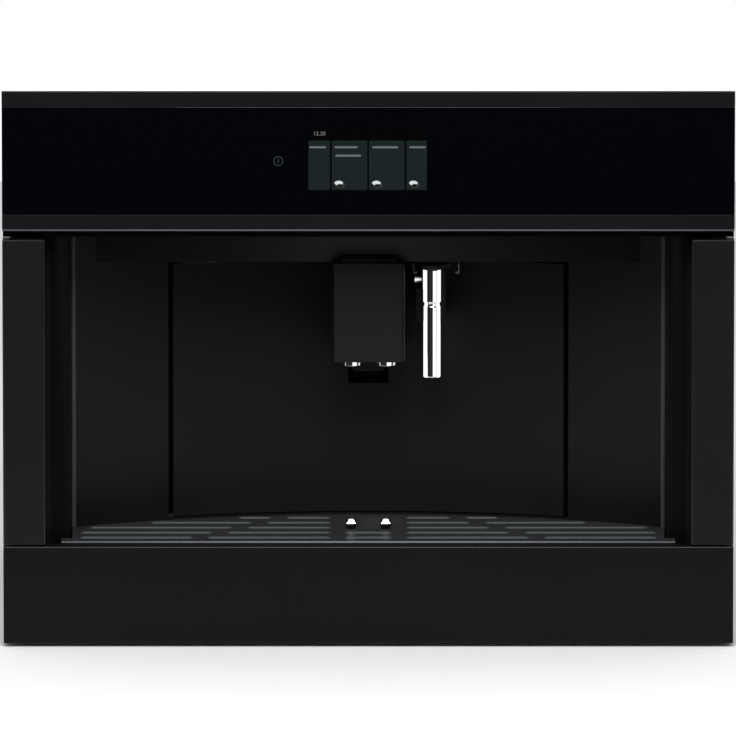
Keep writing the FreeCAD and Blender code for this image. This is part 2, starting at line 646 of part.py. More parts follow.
def plinth_panel():
    """Folded steel panel under the alcove, with a bevelled upper edge."""
    skin, bevel, tall = "panel_skin", "edge_bevel", "plinth_height"
    section = extrusion("PlinthSection", "x", [
        (back("0"), up("0")), (back("0"), up(f"{tall} - {bevel}")), (back(bevel), up(tall)),
        (back("plinth_depth"), up(tall)), (back("plinth_depth"), up(f"{tall} - {skin}")),
        (back(skin), up(f"{tall} - {skin}")), (back(skin), up(skin)),
        (back("frame_depth"), up(skin)), (back("frame_depth"), up("0"))],
        "-" + HALF_FRONT, HALF_FRONT)
    ends = [box(f"PlinthEnd{number}", (low, f"{low} + {skin}"), (back("1"), back("frame_depth")),
                (up("1"), up(f"{tall} - 1.5 * {skin}")))
            for number, low in enumerate(("-" + HALF_FRONT, f"{HALF_FRONT} - {skin}"))]
    keep("plinth_panel", fuse("PlinthPanel", section, *ends))


def handles():
    """Pull-out handles: upright channels with a rolled finger lip, closed at both ends."""
    outer, inner = "-" + HALF_FRONT, f"(-{HALF_FRONT} + handle_width)"
    wall, bevel, deep = "handle_wall", "edge_bevel", "frame_depth"
    low, high = up("plinth_height + seam"), up("handle_top")
    channel = extrusion("HandleChannel", "z", [
        (outer, back(deep)), (outer, back(bevel)), (f"{outer} + {bevel}", back("0")),
        (f"{inner} - {bevel}", back("0")), (inner, back(bevel)), (inner, back("handle_lip")),
        (f"{inner} - {wall}", back("handle_lip")), (f"{inner} - {wall}", back(wall)),
        (f"{outer} + {wall}", back(wall)), (f"{outer} + {wall}", back(deep))], low, high)
    ends = [box(f"HandleEnd{number}", (f"{outer} + 1", f"{inner} - 1"), (back("1"), back(deep)),
                span)
            for number, span in enumerate(((low, f"{low} + {wall}"), (f"{high} - {wall}", high)))]
    both_sides(fuse("handle", channel, *ends))


GLASS_BACK = "(glass_recess + glass_thickness)"
TOP_TRIM_LOW = "(front_height - trim_height)"
GLASS_LOW = "(control_bottom + trim_height + 0.5)"
SHELF = "(front_height - top_slope - panel_skin)"


def control_trims():
    """Satin trims above and below the glass, and the polished lip over the alcove."""
    high = "front_height"
    keep("trim_top", extrusion("TrimTop", "x", [
        (back("0"), up(TOP_TRIM_LOW)), (back("0"), up(f"{high} - edge_bevel")),
        (back("edge_bevel"), up(high)), (back("frame_depth"), up(f"{high} - top_slope")),
        (back("frame_depth"), up(SHELF)), (back(GLASS_BACK), up(SHELF)),
        (back(GLASS_BACK), up(TOP_TRIM_LOW))], "-" + HALF_FRONT, HALF_FRONT))
    low = "(control_bottom + lip_height)"
    keep("trim_bottom", extrusion("TrimBottom", "x", [
        (back("0"), up(low)), (back("0"), up(GLASS_LOW)), (back(GLASS_BACK), up(GLASS_LOW)),
        (back(GLASS_BACK), up(low + " + panel_skin")),
        (back("frame_depth"), up(low + " + panel_skin")),
        (back("frame_depth"), up(low))], "-" + HALF_FRONT, HALF_FRONT))
    keep("polished_lip", extrusion("PolishedLip", "x", [
        (back("0.5"), up("control_bottom")), (back("0"), up("control_bottom + 0.5")),
        (back("0"), up(low)), (back("plinth_depth"), up(low)),
        (back("plinth_depth"), up("control_bottom"))], "-" + HALF_FRONT, HALF_FRONT))


def control_panel():
    """Glass front, the housing behind it, the display and its circuit board."""
    keep("control_glass", box("ControlGlass", ("-" + HALF_FRONT, HALF_FRONT),
                              (back("glass_recess"), back(GLASS_BACK)),
                              (up(GLASS_LOW + " + 0.2"), up(TOP_TRIM_LOW + " - 0.2"))))
    low, high = "control_bottom + lip_height + panel_skin + 0.2", SHELF + " - 0.2"
    shell = box("HousingShell", ("-" + HALF_FRONT, HALF_FRONT),
                (back(GLASS_BACK), back("frame_depth")), (up(low), up(high)))
    room = box("HousingRoom", (f"-{HALF_FRONT} + panel_skin", f"{HALF_FRONT} - panel_skin"),
               (back(GLASS_BACK + " - 1"), back("frame_depth - panel_skin")),
               (up(low + " + panel_skin"), up(high + " - panel_skin")))
    keep("panel_housing", cut("PanelHousing", shell, room))
    half_w, half_h = "(display_width / 2 + 3)", "(display_height / 2 + 3)"
    module_back = "(glass_recess + glass_thickness + 6)"
    keep("display_module", box("DisplayModule", ("-" + half_w, half_w),
                               (back(GLASS_BACK + " + 0.2"), back(module_back)),
                               (up(f"display_centre - {half_h}"), up(f"display_centre + {half_h}"))))
    board_back = f"({module_back} + 0.2 + board_thickness)"
    board = box("BoardSheet", (f"-{half_w} - 42", f"{half_w} + 20"),
                (back(module_back + " + 0.2"), back(board_back)),
                (up(f"display_centre - {half_h} - 2"), up(f"display_centre + {half_h}")))
    posts = [rod(f"BoardPost{number}", "y", "3", (f"{x}", back(board_back + " - 0.5"),
                 up(f"display_centre + {z}")), f"frame_depth - panel_skin - {board_back} + 0.5")
             for number, (x, z) in enumerate(((-85, -22), (-85, 22), (62, -22), (62, 22)))]
    keep("control_board", fuse("ControlBoard", board, *posts))


def front_frame():
    """Steel plate behind the whole front, with a window for the alcove shell."""
    plate = box("FramePlate", ("-frame_width / 2", "frame_width / 2"),
                (back("frame_depth"), back(PANEL_BACK)), (up("panel_skin"), up(SHELF)))
    half = "(alcove_width / 2 + alcove_wall + 0.3)"
    window = box("FrameWindow", ("-" + half, half),
                 (back("frame_depth - 1"), back(PANEL_BACK + " + 1")),
                 (up("well_floor - alcove_wall - 0.3"), up("alcove_top + alcove_wall + 0.3")))
    keep("front_frame", cut("FrontFrame", plate, window))


def carcase():
    """Base pan, side, rear and top sheets, with the openings in the top and the rear."""
    sheet_in = f"({HALF_BODY} - sheet_metal)"
    keep("chassis_base", fuse("ChassisBase", box("BasePan", ("-" + sheet_in, sheet_in),
         (back(PANEL_BACK), back(REAR + " - sheet_metal")),
         (up("body_bottom"), up("body_bottom + sheet_metal"))),
        box("BaseLip", ("-" + sheet_in, sheet_in),
            (back(PANEL_BACK), back(PANEL_BACK + " + sheet_metal")),
            (up("body_bottom"), up("body_bottom + base_lip")))))
    both_sides(box("side_panel", ("-" + HALF_BODY, "-" + sheet_in),
                   (back(PANEL_BACK), back(REAR + " - sheet_metal")),
                   (up("body_bottom"), up(BODY_TOP))))
    rear = box("RearSheet", ("-" + HALF_BODY, HALF_BODY),
               (back(REAR + " - sheet_metal"), back(REAR)), (up("body_bottom"), up(BODY_TOP)))
    vents = []
    for side in (-1, 1):
        for row in range(int(value("vent_rows"))):
            low = f"{BODY_TOP} - vent_drop - {row} * vent_pitch"
            vents.append(box(f"Vent{side}_{row}",
                             (f"{side} * vent_x - vent_width / 2", f"{side} * vent_x + vent_width / 2"),
                             (back(REAR + " - 5"), back(REAR + " + 5")),
                             (up(low), up(low + " + vent_height"))))
    keep("rear_panel", cut("RearPanel", rear, *vents, rear_hole("InletHole", INLET, 0.2),
                           rear_hole("SwitchHole", SWITCH, 0.2)))
    top = box("TopSheet", ("-" + HALF_BODY, HALF_BODY), (back(PANEL_BACK), back(REAR)),
              (up(BODY_TOP), up(BODY_TOP + " + sheet_metal")))
    through = (up(BODY_TOP + " - 5"), up(BODY_TOP + " + 10"))
    openings = [
        box("TankOpening", ("tank_x - tank_width / 2 - 1", "tank_x + tank_width / 2 + 1"),
            (back("tank_depth - 1"), back("tank_depth + tank_length + 1")), through),
        box("HopperOpening",
            ("hopper_x - hopper_width / 2 - 0.5", "hopper_x + hopper_width / 2 + 0.5"),
            (back("hopper_depth - 0.5"), back("hopper_depth + hopper_length + 0.5")), through),
        box("ChuteOpening", ("chute_x - chute_width / 2 - 0.5", "chute_x + chute_width / 2 + 0.5"),
            (back("chute_depth - 0.5"), back("chute_depth + chute_width + 0.5")), through),
        rod("KnobOpening", "z", "knob_radius / 4 + pin_play",
            ("knob_x", back("hopper_depth + 50"), through[0]), "20")]
    keep("top_cover", cut("TopCover", top, *openings))


# Centre X, centre height, width and height of the two fittings on the rear panel.
INLET = ("fittings_x", "inlet_height", "inlet_socket_width", "inlet_socket_height")
SWITCH = ("fittings_x", "main_switch_height", "(switch_width + 6)", "(switch_height + 6)")


def rear_hole(name, fitting, play):
    """Opening in the rear panel for a fitting."""
    x, z, wide, tall = fitting
    return box(name, (f"{x} - {wide} / 2 - {play}", f"{x} + {wide} / 2 + {play}"),
               (back(REAR + " - 5"), back(REAR + " + 5")),
               (up(f"{z} - {tall} / 2 - {play}"), up(f"{z} + {tall} / 2 + {play}")))


def fitting_block(name, fitting, front, rear, inset="0"):
    """Block of a rear fitting between two depths."""
    x, z, wide, tall = fitting
    return box(name, (f"{x} - {wide} / 2 + {inset}", f"{x} + {wide} / 2 - {inset}"),
               (back(front), back(rear)),
               (up(f"{z} - {tall} / 2 + {inset}"), up(f"{z} + {tall} / 2 - {inset}")))


def mains_inlet():
    """Appliance inlet with three blades, for a detachable lead."""
    x, z, wide, tall = INLET
    shell = fitting_block("InletShell", INLET, REAR + " - 20", "machine_depth")
    well = fitting_block("InletWell", INLET, "machine_depth - 15", "machine_depth + 1", "2.2")
    pins = [box(f"InletPin{number}", (f"{x} + {dx} - 1", f"{x} + {dx} + 1"),
                (back("machine_depth - 15.5"), back("machine_depth - 3")),
                (up(f"{z} + {dz} - 2"), up(f"{z} + {dz} + 2")))
            for number, (dx, dz) in enumerate(((-7, -2), (7, -2), (0, 2)))]
    keep("mains_inlet", fuse("MainsInlet", cut("InletSocket", shell, well), *pins))


def main_switch():
    """Rocker on two pivots in a frame on the rear panel."""
    x, z, wide, tall = SWITCH
    frame = fitting_block("SwitchBody", SWITCH, REAR + " - 14", "machine_depth")
    well = fitting_block("SwitchWell", SWITCH, REAR + " - 11", "machine_depth + 1", "3")
    pivot = "(machine_depth - 6)"
    bores = rod("SwitchBores", "x", "1.5 + pin_play",
                (f"{x} - switch_width / 2 - 2.2", back(pivot), up(z)), "switch_width + 4.4")
    keep("switch_frame", cut("SwitchFrame", frame, well, bores))
    cap = box("RockerCap", (f"{x} - switch_width / 2 + 0.5", f"{x} + switch_width / 2 - 0.5"),
              (back(pivot + " - 1.5"), back(pivot + " + 3.6")),
              (up(f"{z} - switch_height / 2 + 1.2"), up(f"{z} + switch_height / 2 - 1.2")))
    hollow = extrusion("RockerDip", "x", [
        (back(pivot + " + 2.4"), up(z)), (back(pivot + " + 4"), up(f"{z} + switch_height / 2")),
        (back(pivot + " + 9"), up(z)), (back(pivot + " + 4"), up(f"{z} - switch_height / 2"))],
        f"{x} - switch_width / 2", f"{x} + switch_width / 2")
    pins = rod("RockerPins", "x", "1.5", (f"{x} - switch_width / 2 - 2", back(pivot), up(z)),
               "switch_width + 4")
    rocker = fuse("Rocker", cut("RockerBody", cap, hollow), pins)
    centre = FreeCAD.Vector(value(x), value(back(pivot)), value(up(z)))
    shape = doc_shape(rocker)
    shape.rotate(centre, FreeCAD.Vector(1, 0, 0), value("switch_tilt"))
    keep("main_switch", formed("MainSwitch", shape))


def doc_shape(thing):
    """A copy of a bound object's shape as it stands now."""
    doc.recompute()
    return thing.Shape.copy()


RAIL_IN = f"(-{HALF_BODY} - 0.4)"
RAIL_OUT = f"({RAIL_IN} - rail_width)"
RAIL_BACK = "(rail_start + rail_length)"


def rail(name, web, way, reach, inset):
    """One C-shaped member of a runner: its web stands at web, its flanges reach that way."""
    low = f"(rail_bottom + {inset})"
    high = f"(rail_bottom + rail_height - {inset})"
    inner, tip = f"({web} + {way} * rail_sheet)", f"({web} + {way} * {reach})"
    return extrusion(name, "y", [
        (web, low), (tip, low), (tip, f"{low} + rail_sheet"), (inner, f"{low} + rail_sheet"),
        (inner, f"{high} - rail_sheet"), (tip, f"{high} - rail_sheet"), (tip, high), (web, high)],
        back("rail_start"), back(RAIL_BACK))


def runners():
    """Three nested members on each side: fixed to the base, floating, fixed to the machine."""
    step = "(rail_sheet + rail_play)"
    members = {
        "rail_outer": (RAIL_OUT, 1, "(rail_width - 0.8)", "0"),
        "rail_middle": (f"({RAIL_OUT} + {step})", 1,
                        f"(rail_width - 1.2 - {step} - rail_sheet)", step),
        "rail_inner": (RAIL_IN, -1, f"(rail_width - 2 * {step})", f"(2 * {step})"),
    }
    for node, (web, way, reach, inset) in members.items():
        left = rail(node + "_section", web, way, reach, inset)
        keep(node, group(node + "_pair", left, mirrored(node + "_twin", left)))


SCREW_X = f"(-{RAIL_OUT} + base_sheet - base_flange + screw_inset)"
SCREW_DEPTH = "(rail_start + 40)"


def runner_base():
    """Two steel angles that screw to the cabinet floor and carry the fixed rails."""
    angles = []
    for side, name in ((-1, "Left"), (1, "Right")):
        outer = f"({RAIL_OUT} - base_sheet)"
        plates = []
        for kind, end, tall in (("Foot", f"({outer} + base_flange)", "base_sheet"),
                                ("Web", RAIL_OUT, "rail_bottom + rail_height")):
            x = (outer, end) if side < 0 else (f"-{end}", f"-{outer}")
            plates.append(box(kind + name, x, (back("rail_start"), back(RAIL_BACK)), ("0", tall)))
        holes = [rod(f"Screw{name}{n}", "z", "screw_hole",
                     (f"{side} * {SCREW_X}", back(f"{SCREW_DEPTH} + {n} * screw_spacing"), "-1"), "9")
                 for n in (0, 1)]
        angles.append(cut("Angle" + name, fuse("Welded" + name, *plates), *holes))
    keep("runner_base", group("RunnerBase", *angles))


def stand(name, x, y, z, sheet="2"):
    """Folded sheet bridge: a deck on two upright cheeks."""
    return extrusion(name, "y", [
        (x[0], z[0]), (x[0], z[1]), (x[1], z[1]), (x[1], z[0]), (f"{x[1]} - {sheet}", z[0]),
        (f"{x[1]} - {sheet}", f"{z[1]} - {sheet}"), (f"{x[0]} + {sheet}", f"{z[1]} - {sheet}"),
        (f"{x[0]} + {sheet}", z[0])], y[0], y[1])


def pedestal(name, x, y, z, wall="2.5"):
    """Closed moulded box that carries something, hollow inside."""
    inner = [(f"{low} + {wall}", f"{high} - {wall}") for low, high in (x, y, z)]
    return cut(name, box(name + "Outer", x, y, z), box(name + "Inner", *inner))


PAN = "(body_bottom + sheet_metal)"
TANK_TOP = f"({BODY_TOP} + sheet_metal + 0.4)"
TANK_LOW = f"({TANK_TOP} - tank_height)"
TANK_X = ("(tank_x - tank_width / 2)", "(tank_x + tank_width / 2)")
TANK_Y = (back("tank_depth"), back("(tank_depth + tank_length)"))
TANK_HINGE = (back("(tank_depth + tank_length - 5)"), up(f"({TANK_TOP} + 3.2)"))


def rounded_box(x, y, z, radius):
    """Block with rounded upright edges."""
    plain = block(x, y, z)
    return plain.makeFillet(radius, [e for e in plain.Edges if abs(e.tangentAt(0).z) > 0.9])


def grown(span, amount):
    """The same span, wider by amount at each end."""
    return (f"{span[0]} - ({amount})", f"{span[1]} + ({amount})")


def water_tank():
    """Clear tank with a valve spigot, its hinged lid and the dock it stands in."""
    outside = rounded_box(TANK_X, TANK_Y, (up(TANK_LOW), up(TANK_TOP)), 10)
    inside = rounded_box(grown(TANK_X, "-tank_wall"), grown(TANK_Y, "-tank_wall"),
                         (up(TANK_LOW + " + tank_wall"), up(TANK_TOP + " + 1")), 7.6)
    middle = back("(tank_depth + tank_length / 2)")
    valve = post("tank_x", middle, up(TANK_LOW + " - 9"), up(TANK_LOW), "valve_radius")
    keep("water_tank", formed("WaterTank", outside.cut(inside).fuse(valve)))
    low = f"({TANK_TOP} + 0.3)"
    lid = rounded_box(TANK_X, (back("tank_depth"), back("(tank_depth + tank_length - 8)")),
                      (up(low), up(low + " + tank_lid_height")), 8)
    barrel = Part.makeCylinder(2.6, value("tank_width - 30"), FreeCAD.Vector(
        value("tank_x - tank_width / 2 + 15"), value(TANK_HINGE[0]), value(TANK_HINGE[1])),
        FreeCAD.Vector(1, 0, 0))
    leaf = block(grown(TANK_X, "-15"), (back("(tank_depth + tank_length - 12)"), TANK_HINGE[0]),
                 (up(low), up(low + " + 2")))
    bore = Part.makeCylinder(1.5 + value("pin_play"), value("tank_width"), FreeCAD.Vector(
        value("tank_x - tank_width / 2"), value(TANK_HINGE[0]), value(TANK_HINGE[1])),
        FreeCAD.Vector(1, 0, 0))
    keep("tank_lid", formed("TankLid", lid.fuse([leaf, barrel]).cut(bore)))
    keep("tank_hinge", hinge_rod("TankHinge", TANK_X, TANK_HINGE, TANK_TOP))
    deck = pedestal("TankStand", TANK_X, TANK_Y, (up(PAN), up(TANK_LOW + " - 0.3")))
    socket = rod("TankSocket", "z", "valve_radius + 0.4",
                 ("tank_x", middle, up(TANK_LOW + " - 12")), "20")
    keep("tank_dock", cut("TankDock", deck, socket))


def hinge_rod(name, x, place, foot):
    """A lid's pivot rod with an ear at each end that stands on the piece below."""
    y, z = place
    low, high = f"({x[0]} + 9)", f"({x[1]} - 9)"
    ears = [box(f"{name}Ear{number}", (start, f"{start} + 4"), (f"{y} - 1.9", f"{y} + 1.9"),
                (up(foot), f"{z} + 1.9")) for number, start in enumerate((low, f"{high} - 4"))]
    return fuse(name, rod(name + "Rod", "x", "1.5", (low, y, z), f"{high} - {low}"), *ears)


RIM_TOP = f"({BODY_TOP} + sheet_metal + 1.6)"
HOPPER_X = ("(hopper_x - hopper_width / 2)", "(hopper_x + hopper_width / 2)")
HOPPER_Y = (back("hopper_depth"), back("(hopper_depth + hopper_length)"))
CHUTE_X = ("(chute_x - chute_width / 2)", "(chute_x + chute_width / 2)")
CHUTE_Y = (back("chute_depth"), back("(chute_depth + chute_width)"))
THROAT = "22"


def rectangle(x, y, z):
    """A level rectangular wire."""
    (x0, x1), (y0, y1), z0 = (map(value, x), map(value, y), value(z))
    corners = [FreeCAD.Vector(a, b, z0) for a, b in ((x0, y0), (x1, y0), (x1, y1), (x0, y1))]
    return Part.makePolygon(corners + corners[:1])


def hopper_body(shrink, low, high):
    """Straight upper part that tapers to a square throat."""
    x, y = grown(HOPPER_X, "-" + shrink), grown(HOPPER_Y, "-" + shrink)
    middle = (f"({HOPPER_X[0]} + {HOPPER_X[1]}) / 2", f"({HOPPER_Y[0]} + {HOPPER_Y[1]}) / 2")
    throat = [(f"{m} - {THROAT} + {shrink}", f"{m} + {THROAT} - {shrink}") for m in middle]
    waist = f"({RIM_TOP} - hopper_height * 0.4)"
    funnel = Part.makeLoft([rectangle(*throat, up(low)), rectangle(x, y, up(waist))], True, True)
    return funnel.fuse(block(x, y, (up(waist), up(high))))


def lid_on(node, name, x, y, hinge, low):
    """Flat lid with a rounded front, and the rod it turns on."""
    lid = rounded_box(x, (y[0], f"{hinge[0]} - 5"), (up(low), up(low + " + lid_thickness")), 5)
    leaf = block(grown(x, "-15"), (f"{hinge[0]} - 9", hinge[0]), (up(low), up(low + " + 2")))
    start = FreeCAD.Vector(value(x[0]) + 15, value(hinge[0]), value(hinge[1]))
    length = value(x[1]) - value(x[0])
    barrel = Part.makeCylinder(2.6, length - 30, start, FreeCAD.Vector(1, 0, 0))
    bore = Part.makeCylinder(1.5 + value("pin_play"), length, start - FreeCAD.Vector(15, 0, 0),
                             FreeCAD.Vector(1, 0, 0))
    keep(node, formed(name, lid.fuse([leaf, barrel]).cut(bore)))


HOPPER_HINGE = (f"({HOPPER_Y[1]} + 1)", up(f"({RIM_TOP} + 3.2)"))
CHUTE_HINGE = (f"({CHUTE_Y[1]} + 1)", up(f"({RIM_TOP} + 3.2)"))


def bean_hopper():
    """Funnel for the beans, with a rim on the top cover and a hinged lid."""
    low = f"({RIM_TOP} - hopper_height)"
    body = hopper_body("0", low, RIM_TOP)
    hollow = hopper_body("hopper_wall", low, RIM_TOP + " + 1")
    throat = block(*[(f"{m} - {THROAT} + hopper_wall", f"{m} + {THROAT} - hopper_wall") for m in
                     ("hopper_x", back("(hopper_depth + hopper_length / 2)"))],
                   (up(low + " - 1"), up(low + " + 2")))
    rim = block(grown(HOPPER_X, "6"), grown(HOPPER_Y, "6"),
                (up(BODY_TOP + " + sheet_metal"), up(RIM_TOP)))
    keep("bean_hopper", formed("BeanHopper", body.fuse(rim).cut([hollow, throat])))
    lid_on("bean_lid", "BeanLid", HOPPER_X, HOPPER_Y, HOPPER_HINGE, f"({RIM_TOP} + 0.3)")


def ground_chute():
    """Square chute for ready ground coffee, down to the infuser, with a small lid."""
    low = f"({BREW_TOP} + 0.3)"
    tube = block(CHUTE_X, CHUTE_Y, (up(low), up(RIM_TOP)))
    rim = block(grown(CHUTE_X, "5"), grown(CHUTE_Y, "5"),
                (up(BODY_TOP + " + sheet_metal"), up(RIM_TOP)))
    hole = block(grown(CHUTE_X, "-2"), grown(CHUTE_Y, "-2"),
                 (up(low + " - 1"), up(RIM_TOP + " + 1")))
    keep("ground_chute", formed("GroundChute", tube.fuse(rim).cut(hole)))
    wide = grown(CHUTE_X, "5")
    lid_on("chute_lid", "ChuteLid", wide, CHUTE_Y, CHUTE_HINGE, f"({RIM_TOP} + 0.3)")
    keep("lid_hinges", group("LidHinges", hinge_rod("BeanHinge", HOPPER_X, HOPPER_HINGE, RIM_TOP),
                             hinge_rod("ChuteHinge", wide, CHUTE_HINGE, RIM_TOP)))


def grinder():
    """Burr housing and motor under the hopper, on its own stand, with the grind dial above."""
    middle = back("(hopper_depth + hopper_length / 2)")
    top = f"({RIM_TOP} - hopper_height - 0.3)"
    drum = rod("GrinderDrum", "z", "grinder_radius",
               ("hopper_x", middle, up(f"{top} - grinder_height * 0.4")), "grinder_height * 0.4")
    motor = rod("GrinderMotor", "z", "grinder_radius * 0.72",
                ("hopper_x", middle, up(f"{top} - grinder_height")), "grinder_height * 0.6")
    spout = box("GrinderSpout", ("infuser_width / 2 + 0.3", "hopper_x"),
                (f"{middle} - 14", f"{middle} + 14"),
                (up(f"{top} - grinder_height * 0.3"), up(f"{top} - 6")))
    keep("grinder", fuse("Grinder", drum, motor, spout))
    keep("grinder_stand", stand("GrinderStand", grown(("hopper_x", "hopper_x"), "grinder_radius"),
                                grown((middle, middle), "grinder_radius"),
                                (up(PAN), up(f"{top} - grinder_height - 0.1"))))
    dial_low = f"({BODY_TOP} + sheet_metal + 0.3)"
    y = back("hopper_depth + 50")
    dial = rod("DialKnob", "z", "knob_radius", ("knob_x", y, up(dial_low)), "knob_height - 3")
    shaft = rod("DialShaft", "z", "knob_radius / 4",
                ("knob_x", y, up(dial_low + " - 16")), "17")
    pointer = box("DialPointer", ("knob_x - 2", "knob_x + 2"),
                  (f"{y} - knob_radius + 1", f"{y} + knob_radius - 1"),
                  (up(dial_low + " + knob_height - 3.5"), up(dial_low + " + knob_height")))
    keep("grind_dial", fuse("GrindDial", dial, shaft, pointer))


BREW_DECK = "(door_bottom + 1.3)"
BREW_LOW = f"({BREW_DECK} + bin_height + 20)"
BREW_TOP = f"({BREW_LOW} + infuser_height)"


def brewing_unit():
    """Infuser on its bracket, with the grounds bin and the deck under it."""
    keep("brew_deck", pedestal("BrewDeck", ("-bin_width / 2 - 10", "bin_width / 2 + 10"),
         (back("bin_depth - 4"), back("bin_depth + bin_length + 6")), (up(PAN), up(BREW_DECK))))
    behind = "(infuser_depth + infuser_length)"
    keep("infuser_bracket", box("InfuserBracket",
         ("-infuser_width / 2 - 12", "infuser_width / 2 + 12"),
         (back(behind), back(behind + " + 3")), (up(BREW_DECK), up(BREW_TOP + " - 6"))))
    outer = rounded_box(("-bin_width / 2", "bin_width / 2"),
                        (back("bin_depth"), back("(bin_depth + bin_length)")),
                        (up(BREW_DECK + " + 0.3"), up(f"{BREW_DECK} + bin_height")), 12)
    inner = rounded_box(("-bin_width / 2 + bin_wall", "bin_width / 2 - bin_wall"),
                        (back("bin_depth + bin_wall"), back("(bin_depth + bin_length - bin_wall)")),
                        (up(BREW_DECK + " + bin_wall + 0.3"), up(f"{BREW_DECK} + bin_height + 1")), 10)
    keep("grounds_bin", formed("GroundsBin", outer.cut(inner)))
    half = "(infuser_width / 2)"
    yoke = box("InfuserYoke", ("-" + half, half),
               (back("infuser_depth + infuser_length / 2"), back(behind)),
               (up(BREW_LOW), up(BREW_TOP)))
    foot = box("InfuserFoot", ("-" + half, half), (back("infuser_depth"), back(behind)),
               (up(BREW_LOW), up(BREW_LOW + " + 16")))
    head = box("InfuserHead", ("-" + half, half), (back("infuser_depth + 8"), back(behind)),
               (up(BREW_TOP + " - 22"), up(BREW_TOP)))
    chamber = rod("InfuserChamber", "z", "chamber_radius",
                  ("0", back("infuser_depth + infuser_length / 2 - 4"), up(BREW_LOW + " + 10")),
                  "infuser_height - 40")
    keep("infuser", fuse("Infuser", yoke, foot, head, chamber))


def water_works():
    """Boiler and pump on the base, and the power board on the rear panel."""
    works_y = back("machine_depth - works_setback")
    body = rod("BoilerBody", "z", "boiler_radius", ("boiler_x", works_y, up(PAN)), "boiler_height")
    cap = rod("BoilerCap", "z", "boiler_radius * 0.6",
              ("boiler_x", works_y, up(PAN + " + boiler_height")), "boiler_cap")
    keep("boiler", fuse("Boiler", body, cap))
    centre = f"({PAN} + pump_radius + pump_clearance)"
    barrel = rod("PumpBody", "x", "pump_radius",
                 ("pump_x - pump_length / 2", works_y, up(centre)), "pump_length")
    foot = box("PumpFoot", ("pump_x - pump_length / 4", "pump_x + pump_length / 4"),
               (f"{works_y} - pump_radius * 2 / 3", f"{works_y} + pump_radius * 2 / 3"),
               (up(PAN), up(centre)))
    keep("pump", fuse("Pump", barrel, foot))
    board_y = REAR + " - board_gap"
    board = box("PowerSheet", ("board_left", "board_right"),
                (back(board_y), back(board_y + " + board_thickness")), (up("board_low"), up("board_high")))
    corners = [(x, z) for x in ("board_left + 8", "board_right - 8")
               for z in ("board_low + 8", "board_high - 8")]
    posts = [rod(f"PowerPost{n}", "y", "board_post", (x, back(board_y + " + 1"), up(z)),
                 "board_gap - 1 - sheet_metal") for n, (x, z) in enumerate(corners)]
    core = box("PowerCore", ("board_left + core_length", "board_left + 2 * core_length"),
               (back(board_y + " - core_depth"), back(board_y + " + 0.5")),
               (up("board_low + 20"), up("board_low + 20 + core_length")))
    keep("power_board", fuse("PowerBoard", board, core, *posts))


def build():
    """Every piece, from the front inwards."""
    for make in (plinth_panel, handles, control_trims, control_panel, front_frame, carcase,
                 alcove_shell, header_fascia, service_door, hinge_brackets, catch, spout_cover,
                 spout_base, spout_nozzles, spout_carriage, water_connector, water_spout_body,
                 release_button, water_spout_cap, water_tube, drip_tray, cup_grille, drain_inlets,
                 runners, runner_base, water_tank, bean_hopper, ground_chute, grinder,
                 brewing_unit, water_works, mains_inlet, main_switch):
        make()
    doc.recompute()


def check():
    """Stop if any object of the document failed or any piece isn't sound."""
    for thing in doc.Objects:
        if "Invalid" in thing.State or "Error" in thing.State:
            raise SystemExit(f"{thing.Label}: {thing.State}")
    for node, thing in NODES.items():
        shape = thing.Shape
        if shape.isNull() or not shape.isValid() or not shape.Solids:
            raise SystemExit(f"{node}: not a sound solid")
        if shape.Volume <= 0:
            raise SystemExit(f"{node}: volume {shape.Volume}")


def write():
    """One STEP file a piece."""
    os.makedirs("parts", exist_ok=True)
    for node, thing in NODES.items():
        thing.Shape.exportStep(f"parts/{node}.step")
    print(f"{len(NODES)} pieces, {sum(len(t.Shape.Solids) for t in NODES.values())} solids")


build()
check()
write()
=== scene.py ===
# %% [markdown]
# # A built-in coffee machine in black steel
#
# The machine is a dark box with a curved cup alcove, and nearly everything on it is black. A black
# object is drawn by its edges and its reflections, so this lesson spends most of its care on three
# things: rounded edges that catch a line of light, finishes that differ only in their gloss, and a
# white studio whose camera side is dark in every reflection.
#
# The solids come from the construction model. They are never moved. Where a solid only needs a
# finish, it gets a material; where its edges have to be seen, a rounded copy stands in for it.

